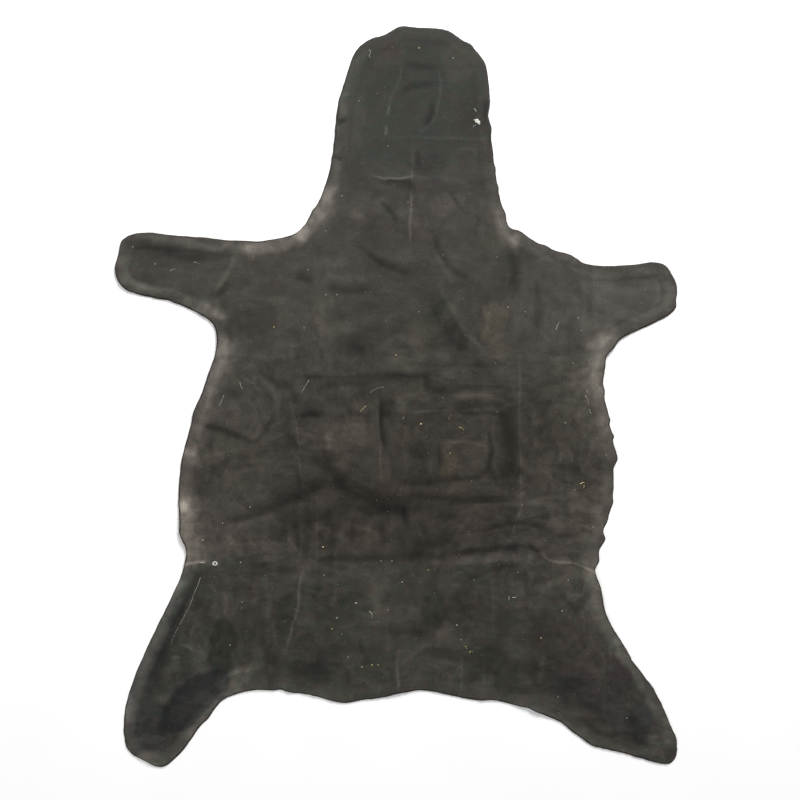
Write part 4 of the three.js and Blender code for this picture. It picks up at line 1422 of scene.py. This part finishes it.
def stripe_values(at):
    """What the stripes need to know at each place, by name."""
    x, y = at.T
    swing = soft_step((-0.15 - y) / 0.6)
    body = (y + (0.16 + 0.9 * swing) * np.abs(x) ** 1.4 + 0.25 * swing * np.abs(x)) / BODY_BAND
    body += 0.26 * cloud(at, 150 * MM, 81) + 0.16 * cloud(at, 60 * MM, 83)
    on_leg, leg_phase = np.zeros(len(at)), np.zeros(len(at))
    for _, root, end, half, band in LEGS:
        a, b = on_rug(root), on_rug(end)
        length = np.hypot(*(b - a))
        along = (at - a) @ (b - a) / length
        across = np.abs((at - a) @ np.array([a[1] - b[1], b[0] - a[0]]) / length)
        near = across < 1.6 * half * PIXEL
        leg_phase = np.where(near & (along > -0.1), along / (band * MM), leg_phase)
        rounded = across / (half * PIXEL)
        begins = 0.06 + 0.14 * rounded**2 - 0.05 * cloud(at, 90 * MM, 86)
        share = soft_step((along / length - begins) / 0.16)
        share *= soft_step((1.5 * half * PIXEL - across) / (0.4 * half * PIXEL))
        on_leg = np.maximum(on_leg, share)
    leg_phase += 0.18 * cloud(at, 70 * MM, 85)
    belly = soft_step((np.abs(x) - 0.42) / 0.24) * (1 - on_leg)
    return {
        "body_phase": body,
        "leg_phase": leg_phase,
        "on_leg": on_leg,
        "rump": swing * (1 - on_leg),
        "black_share": 0.1 - 0.62 * belly + 0.2 * cloud(at, 90 * MM, 87),
        "spine_distance": np.abs(x + 6 * MM * cloud(at, 120 * MM, 89)),
    }


hide = to_object(hide_bm, "striped_hide")
for name, values in stripe_values(at).items():
    add_values(hide, name, values)
add_values(hide, "rise", rise)
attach(hide, "root")
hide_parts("hide")

# %% The stripes' waves
hide_finish, tree, shader = new_material("short_striped_hair")
where = add_node(tree, "TexCoord").outputs["Object"]
nap = place_group(tree, nap_group, Vector=where, Fibre_Scale=950.0, Stretch=0.12)
ragged = add_node(tree, "TexNoise", Vector=where, Scale=34.0, Detail=6.0, Roughness=0.7)


def swinging(tree, noise, reach):
    """A noise moved to swing round zero."""
    return maths(tree, "MULTIPLY", maths(tree, "SUBTRACT", noise, 0.5), reach)


def stripe_wave(tree, phase, wobble):
    """A wave from -1 to 1 that turns once in each step of a phase."""
    turn = maths(tree, "MULTIPLY", maths(tree, "ADD", kept(tree, phase), wobble), 2 * math.pi)
    return maths(tree, "SINE", turn)


wobble = swinging(tree, ragged.outputs[0], 0.42)
body_wave = stripe_wave(tree, "body_phase", wobble)
leg_wave = stripe_wave(tree, "leg_phase", wobble)
from_body = maths(tree, "MULTIPLY", body_wave, maths(tree, "SUBTRACT", 1.0, kept(tree, "on_leg")))
wave = maths(tree, "MULTIPLY_ADD", leg_wave, kept(tree, "on_leg"), from_body)
band = maths(tree, "ADD", wave, kept(tree, "black_share"))
band = maths(tree, "ADD", band, swinging(tree, nap.outputs["Streak"], 0.35))
print("for the stripes' waves:", len(tree.nodes), "nodes")

# %% The hide's colours
CREAM, DEEP_CREAM = (0.66, 0.58, 0.45, 1), (0.5, 0.4, 0.27, 1)
FAINT_BROWN = (0.2, 0.12, 0.07, 1)
BLACK = (0.022, 0.015, 0.012, 1)
SKIN = (0.035, 0.027, 0.026)

spine = ranged(tree, kept(tree, "spine_distance"), 0.007, 0.011, 1.0, 0.0)
black = maths(tree, "MAXIMUM", ranged(tree, band, -0.08, 0.1), spine)
cream = mixed(tree, ranged(tree, ragged.outputs[0], 0.35, 0.7), CREAM, DEEP_CREAM)
faint = maths(tree, "MULTIPLY", ranged(tree, wave, -1.0, -0.82, 1.0, 0.0), kept(tree, "rump"))
cream = mixed(tree, maths(tree, "MULTIPLY", faint, 0.6), cream, FAINT_BROWN)
hair = mixed(tree, black, cream, BLACK)
hair = multiplied(tree, hair, ranged(tree, nap.outputs["Streak"], 0.3, 0.7, 0.78, 1.16))
skin = multiplied(tree, SKIN, ranged(tree, ragged.outputs[0], 0.3, 0.7, 0.75, 1.3))
is_skin = ranged(tree, kept(tree, "rise"), 0.55, 0.8)
bump = add_node(tree, "Bump", Height=nap.outputs["Height"], Strength=0.7, Distance=0.0007)
set_inputs(
    tree, shader,
    Base_Color=mixed(tree, is_skin, hair, skin),
    Roughness=ranged(tree, nap.outputs["Grain"], 0.2, 0.8, 0.55, 0.75),
    Specular_IOR_Level=0.3,
    Normal=bump.outputs[0],
)
hide.data.materials.append(hide_finish)
print("hide material:", len(tree.nodes), "nodes")

# %% [markdown]
# ## Lint
#
# The felt has picked up white fluff, yellow straw dust, curls of fibre and a few hairs.
# The larger ones are modelled where the photograph shows them. A thread is a small
# circle, extruded from point to point along a curl.

# %% Threads and crumbs
def thread(points, radius, sides=5):
    """A round thread along a few points, closed at both ends."""
    bm = bmesh.new()
    points = [Vector(p) for p in points]
    ring = bmesh.ops.create_circle(bm, cap_ends=True, segments=sides, radius=radius)["verts"]
    aim = (points[1] - points[0]).to_track_quat("Z", "Y").to_matrix().to_4x4()
    aim.translation = points[0]
    bmesh.ops.transform(bm, matrix=aim, verts=ring)
    face = ring[0].link_faces[0]
    for before, here in zip(points, points[1:]):
        made = bmesh.ops.extrude_face_region(bm, geom=[face])["geom"]
        moved = [g for g in made if isinstance(g, bmesh.types.BMVert)]
        bmesh.ops.translate(bm, vec=here - before, verts=moved)
        face = next(g for g in made if isinstance(g, bmesh.types.BMFace))
    bmesh.ops.recalc_face_normals(bm, faces=bm.faces)
    return bm


def crumb(place, radius, rng, fineness=1):
    """A squashed, uneven grain."""
    bm = bmesh.new()
    bmesh.ops.create_icosphere(bm, subdivisions=fineness, radius=radius)
    for vert in bm.verts:
        vert.co *= rng.uniform(0.7, 1.25)
    bmesh.ops.scale(bm, vec=(1, rng.uniform(0.5, 0.9), rng.uniform(0.4, 0.6)), verts=bm.verts)
    bmesh.ops.translate(bm, vec=place, verts=bm.verts)
    return bm


def on_felt(x, y, above=0.0):
    """The point of the felt's upper face at a place."""
    hit = felt_tree.ray_cast(Vector((x, y, 1)), Vector((0, 0, -1)))[0]
    return Vector((x, y, (hit.z if hit else 0) + above))


def curl(start, end, bend, radius, rng, steps=7):
    """A thread from one place to another that bends to one side."""
    a, b = np.array(start), np.array(end)
    side = np.array([a[1] - b[1], b[0] - a[0]]) * bend
    points = []
    for t in np.linspace(0, 1, steps):
        x, y = a + (b - a) * t + side * math.sin(math.pi * t) + rng.normal(0, 0.3 * MM, 2)
        points.append(on_felt(x, y, radius * rng.uniform(0.6, 1.8)))
    return thread(points, radius)


def gather(target, bm):
    """Adds one small mesh to a larger one."""
    mesh = bpy.data.meshes.new("crumb")
    bm.to_mesh(mesh)
    bm.free()
    target.from_mesh(mesh)
    bpy.data.meshes.remove(mesh)


# %% Lint where the photograph shows it
HAIRS = [
    # start and end in photo pixels, bend, radius in mm, colour
    ((302, 393), (309, 380), 0.03, 0.46, "white"),
    ((219, 406), (224, 395), -0.02, 0.36, "white"),
    ((370, 393), (384, 387), 0.1, 0.3, "white"),
    ((360, 412), (366, 406), 0.02, 0.7, "straw"),
    ((585, 395), (589, 406), 0.08, 0.2, "white"),
    ((586.5, 391), (587, 393), 0.1, 0.6, "white"),
    ((585, 395), (586, 398), 0.1, 0.5, "white"),
    ((589, 409), (591, 414), 0.02, 0.4, "white"),
    ((369, 50), (370, 54), 0.25, 0.75, "white"),
    ((370, 54), (370.4, 58), -0.25, 0.7, "white"),
    ((580, 484), (587, 485), 0.3, 1.0, "straw"),
    ((584, 485), (583, 488), 0.2, 0.8, "straw"),
    ((459, 427), (462, 434), 0.4, 0.8, "straw"),
    ((509, 600), (513, 596), 0.4, 0.9, "white"),
    ((512, 597), (517, 594), -0.3, 0.8, "white"),
    ((469, 653), (473, 652), 0.3, 1.0, "straw"),
    ((465, 646), (466, 650), 0.2, 0.8, "straw"),
    ((473, 127.5), (476, 124.5), 0.1, 0.7, "white"),
    ((474, 109), (476, 112), 0.2, 0.9, "white"),
    ((200, 562), (205, 563), 0.1, 0.9, "white"),
    ((403, 419), (406, 416), 0.2, 0.7, "white"),
    ((193, 262), (199, 264), 0.1, 0.45, "white"),
    ((170, 271), (176, 269), 0.1, 0.45, "white"),
    ((556, 330), (560, 322), 0.1, 0.45, "white"),
    ((243, 389), (240, 382), 0.1, 0.5, "white"),
    ((449, 420), (451, 415), 0.1, 0.3, "straw"),
    ((369, 611), (372, 618), 0.2, 0.6, "white"),
    ((201, 577), (194, 594), 0.01, 0.3, "white"),
    ((194, 594), (188, 610), 0.02, 0.22, "white"),
    ((188, 610), (170, 645), -0.02, 0.17, "white"),
]
CRUMBS = [
    # x, y in photo pixels, radius in mm, colour
    (419, 48, 2.2, "straw"), (453, 58, 2.2, "white"), (359, 101, 1.6, "white"), (388, 146, 1.7, "white"),
    (342, 196, 1.8, "white"), (408, 202, 1.7, "white"), (326, 231, 1.6, "white"), (443, 255, 1.6, "white"),
    (497, 257, 1.6, "white"), (133, 247, 2.2, "straw"), (155, 264, 1.8, "white"), (274, 327, 2.2, "straw"),
    (304, 328, 1.5, "white"), (326, 295, 2.0, "white"), (337, 295, 1.8, "white"), (419, 312, 2.0, "white"),
    (508, 307, 2.0, "straw"), (525, 312, 1.8, "white"), (578, 318, 2.0, "white"), (581, 331, 1.6, "white"),
    (396, 355, 2.4, "straw"), (573, 363, 1.6, "white"), (421, 424, 3.2, "straw"),
    (450, 453, 1.8, "straw"), (565, 423, 1.8, "white"), (606, 455, 1.6, "white"),
    (575, 490, 1.7, "white"), (522, 505, 1.6, "white"), (593, 527, 1.8, "white"), (602, 526, 1.6, "white"),
    (323, 547, 2.8, "straw"), (203, 540, 2.0, "white"), (241, 562, 2.2, "white"), (428, 570, 2.0, "straw"),
    (324, 575, 1.6, "white"), (402, 582, 2.2, "white"), (562, 611, 2.0, "white"), (356, 603, 2.6, "white"),
    (388, 610, 1.8, "white"), (541, 638, 2.4, "straw"), (457, 625, 2.2, "white"), (337, 618, 2.0, "white"),
    (332, 629, 2.2, "straw"), (342, 634, 1.7, "white"), (230, 645, 2.0, "white"), (362, 667, 2.4, "straw"),
    (372, 665, 2.0, "straw"), (378, 665, 1.8, "straw"), (348, 657, 1.9, "white"), (627, 718, 1.6, "white"),
    (558, 697, 1.6, "white"), (223, 523, 1.8, "white"), (250, 507, 1.8, "white"), (568, 580, 2.0, "white"),
    (461, 640, 1.5, "white"), (392, 561, 1.6, "white"), (381, 561, 1.5, "white"), (242, 602, 1.6, "white"),
    (518, 572, 1.5, "white"), (474, 580, 1.5, "white"), (308, 270, 1.5, "white"), (497, 412, 1.4, "white"),
]

rng = np.random.default_rng(7)
lint_meshes = {"white": bmesh.new(), "straw": bmesh.new()}
for start, end, bend, radius, colour in HAIRS:
    gather(lint_meshes[colour], curl(on_rug(start), on_rug(end), bend, radius * MM, rng))
for x, y, radius, colour in CRUMBS:
    place = on_felt(*on_rug((x, y)), 0.3 * radius * MM)
    gather(lint_meshes[colour], crumb(place, 1.05 * radius * MM, rng))
print(len(HAIRS), "threads and", len(CRUMBS), "crumbs")

# %% The large piece of fluff and the ring-shaped spot
FLUFF = (476.8, 121.6)  # photo pixels
FLUFF_LUMPS = [
    # x, y in pixels from its middle, radius in mm
    (0, 0, 6.4), (1.4, 1.0, 6), (-1.6, -1.4, 4.2), (0.2, -1.4, 4.6), (1.9, 2.4, 4.2),
]
RING, RING_HALF_WIDTH, RING_HALF_HEIGHT = (215.3, 563.3), 1.9, 1.6  # photo pixels
RING_GRAINS = 14

for dx, dy, radius in FLUFF_LUMPS:
    place = on_felt(*on_rug((FLUFF[0] + dx, FLUFF[1] + dy)), 1.4 * MM)
    gather(lint_meshes["white"], crumb(place, radius * MM, rng, 2))
for turn in 2 * math.pi * np.arange(RING_GRAINS) / RING_GRAINS:
    dx, dy = RING_HALF_WIDTH * math.cos(turn), RING_HALF_HEIGHT * math.sin(turn)
    place = on_felt(*on_rug((RING[0] + dx, RING[1] + dy)), 0.3 * MM)
    gather(lint_meshes["white"], crumb(place, rng.uniform(2.6, 3.6) * MM, rng))
print(len(FLUFF_LUMPS), "lumps of fluff and", RING_GRAINS, "grains in a ring")

# %% Finer dust all over
DUST_GRAINS = 700  # some of them fall outside the skin
CLEAR_RIM = 12 * MM

scatter = rng.uniform(skin_edge.min(0), skin_edge.max(0), (DUST_GRAINS, 2))
scatter = scatter[is_inside(scatter, skin_edge)]
scatter = scatter[depth_in(scatter) > CLEAR_RIM]
for x, y in scatter:
    colour = "white" if rng.random() < 0.65 else "straw"
    if rng.random() < 0.6:
        dust = crumb(on_felt(x, y, 0.1 * MM), rng.uniform(0.35, 0.8) * MM, rng)
    else:
        end = np.array((x, y)) + rng.normal(0, 3 * MM, 2)
        dust = curl((x, y), end, rng.normal(0, 0.3), 0.16 * MM, rng, 5)
    gather(lint_meshes[colour], dust)
print(len(scatter), "grains of dust")

# %% Lint finishes
LINT = {"white": (0.62, 0.61, 0.55), "straw": (0.68, 0.57, 0.28)}
for name, bm in lint_meshes.items():
    piece = to_object(bm, name + "_lint")
    finish, tree, shader = new_material(name + "_lint")
    where = add_node(tree, "TexCoord").outputs["Object"]
    nap = place_group(tree, nap_group, Vector=where, Fibre_Scale=1600.0, Stretch=1.0)
    shade = ranged(tree, nap.outputs["Grain"], 0.25, 0.75, 0.7, 1.2)
    bump = add_node(tree, "Bump", Height=nap.outputs["Height"], Strength=0.6, Distance=0.0004)
    set_inputs(tree, shader, Base_Color=multiplied(tree, LINT[name], shade), Roughness=0.9,
               Specular_IOR_Level=0.2, Normal=bump.outputs[0])
    piece.data.materials.append(finish)
    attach(piece, "root")

# %% [markdown]
# ## Floor, light and camera
#
# The floor is plain and nearly white, and a faint glow of its own makes up for the light
# that it doesn't send back. One broad lamp from beyond the head and a little to the right
# models the folds, a weaker one fills from the other side, and a pale world keeps the
# shadows open. The camera looks straight down, as the photograph does.

# %% The floor
floor_bm = bmesh.new()
bmesh.ops.create_grid(floor_bm, x_segments=8, y_segments=8, size=30)
bmesh.ops.translate(floor_bm, vec=(0, 0, -0.4 * MM), verts=floor_bm.verts)
floor = to_object(floor_bm, "floor", smooth=False)
paper, tree, shader = new_material("pale_floor")
where = add_node(tree, "TexCoord").outputs["Object"]
dapple = add_node(tree, "TexNoise", Vector=where, Scale=3.0, Detail=2.0)
dappled = ranged(tree, dapple.outputs[0], 0.2, 0.8, 0.99, 1.01)
set_inputs(tree, shader, Base_Color=multiplied(tree, (0.96, 0.96, 0.96), dappled), Roughness=0.9,
           Specular_IOR_Level=0.1, Emission_Color=(1, 1, 1, 1), Emission_Strength=0.06)
floor.data.materials.append(paper)
floor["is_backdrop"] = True


# %% The lamps
def lamp(name, place, size, power):
    """A square lamp that looks at the origin."""
    light = bpy.data.lights.new(name, "AREA")
    light.size = size
    light.energy = power
    holder = bpy.data.objects.new(name, light)
    holder.location = place
    holder.rotation_mode = "QUATERNION"
    holder.rotation_quaternion = Vector(place).to_track_quat("Z", "Y")
    bpy.context.scene.collection.objects.link(holder)


lamp("window_light", (2.2, 5.2, 4.2), 2.2, 560)
lamp("fill_light", (-4.5, -2.5, 5.5), 4.0, 150)
print("lamps:", [light.name for light in bpy.data.lights])

world = bpy.data.worlds.new("pale_room")
world.use_nodes = True
set_inputs(world.node_tree, world.node_tree.nodes["Background"], Color=(1, 1, 1, 1), Strength=0.3)
bpy.context.scene.world = world
bpy.context.scene.view_settings.view_transform = "Standard"

# %% The camera
IMAGE_PIXELS = 800
lens = bpy.data.cameras.new("camera")
lens.lens, lens.sensor_width = 50, 36
TOP_OF_FELT = 6 * MM
distance = IMAGE_PIXELS / 2 * PIXEL / (lens.sensor_width / 2 / lens.lens)
camera = bpy.data.objects.new("camera", lens)
middle_x, middle_y = on_rug((IMAGE_PIXELS / 2, IMAGE_PIXELS / 2))
camera.location = (middle_x, middle_y, distance + TOP_OF_FELT)
bpy.context.scene.collection.objects.link(camera)
bpy.context.scene.camera = camera
print("the camera is", round(distance, 2), "m above the rug")
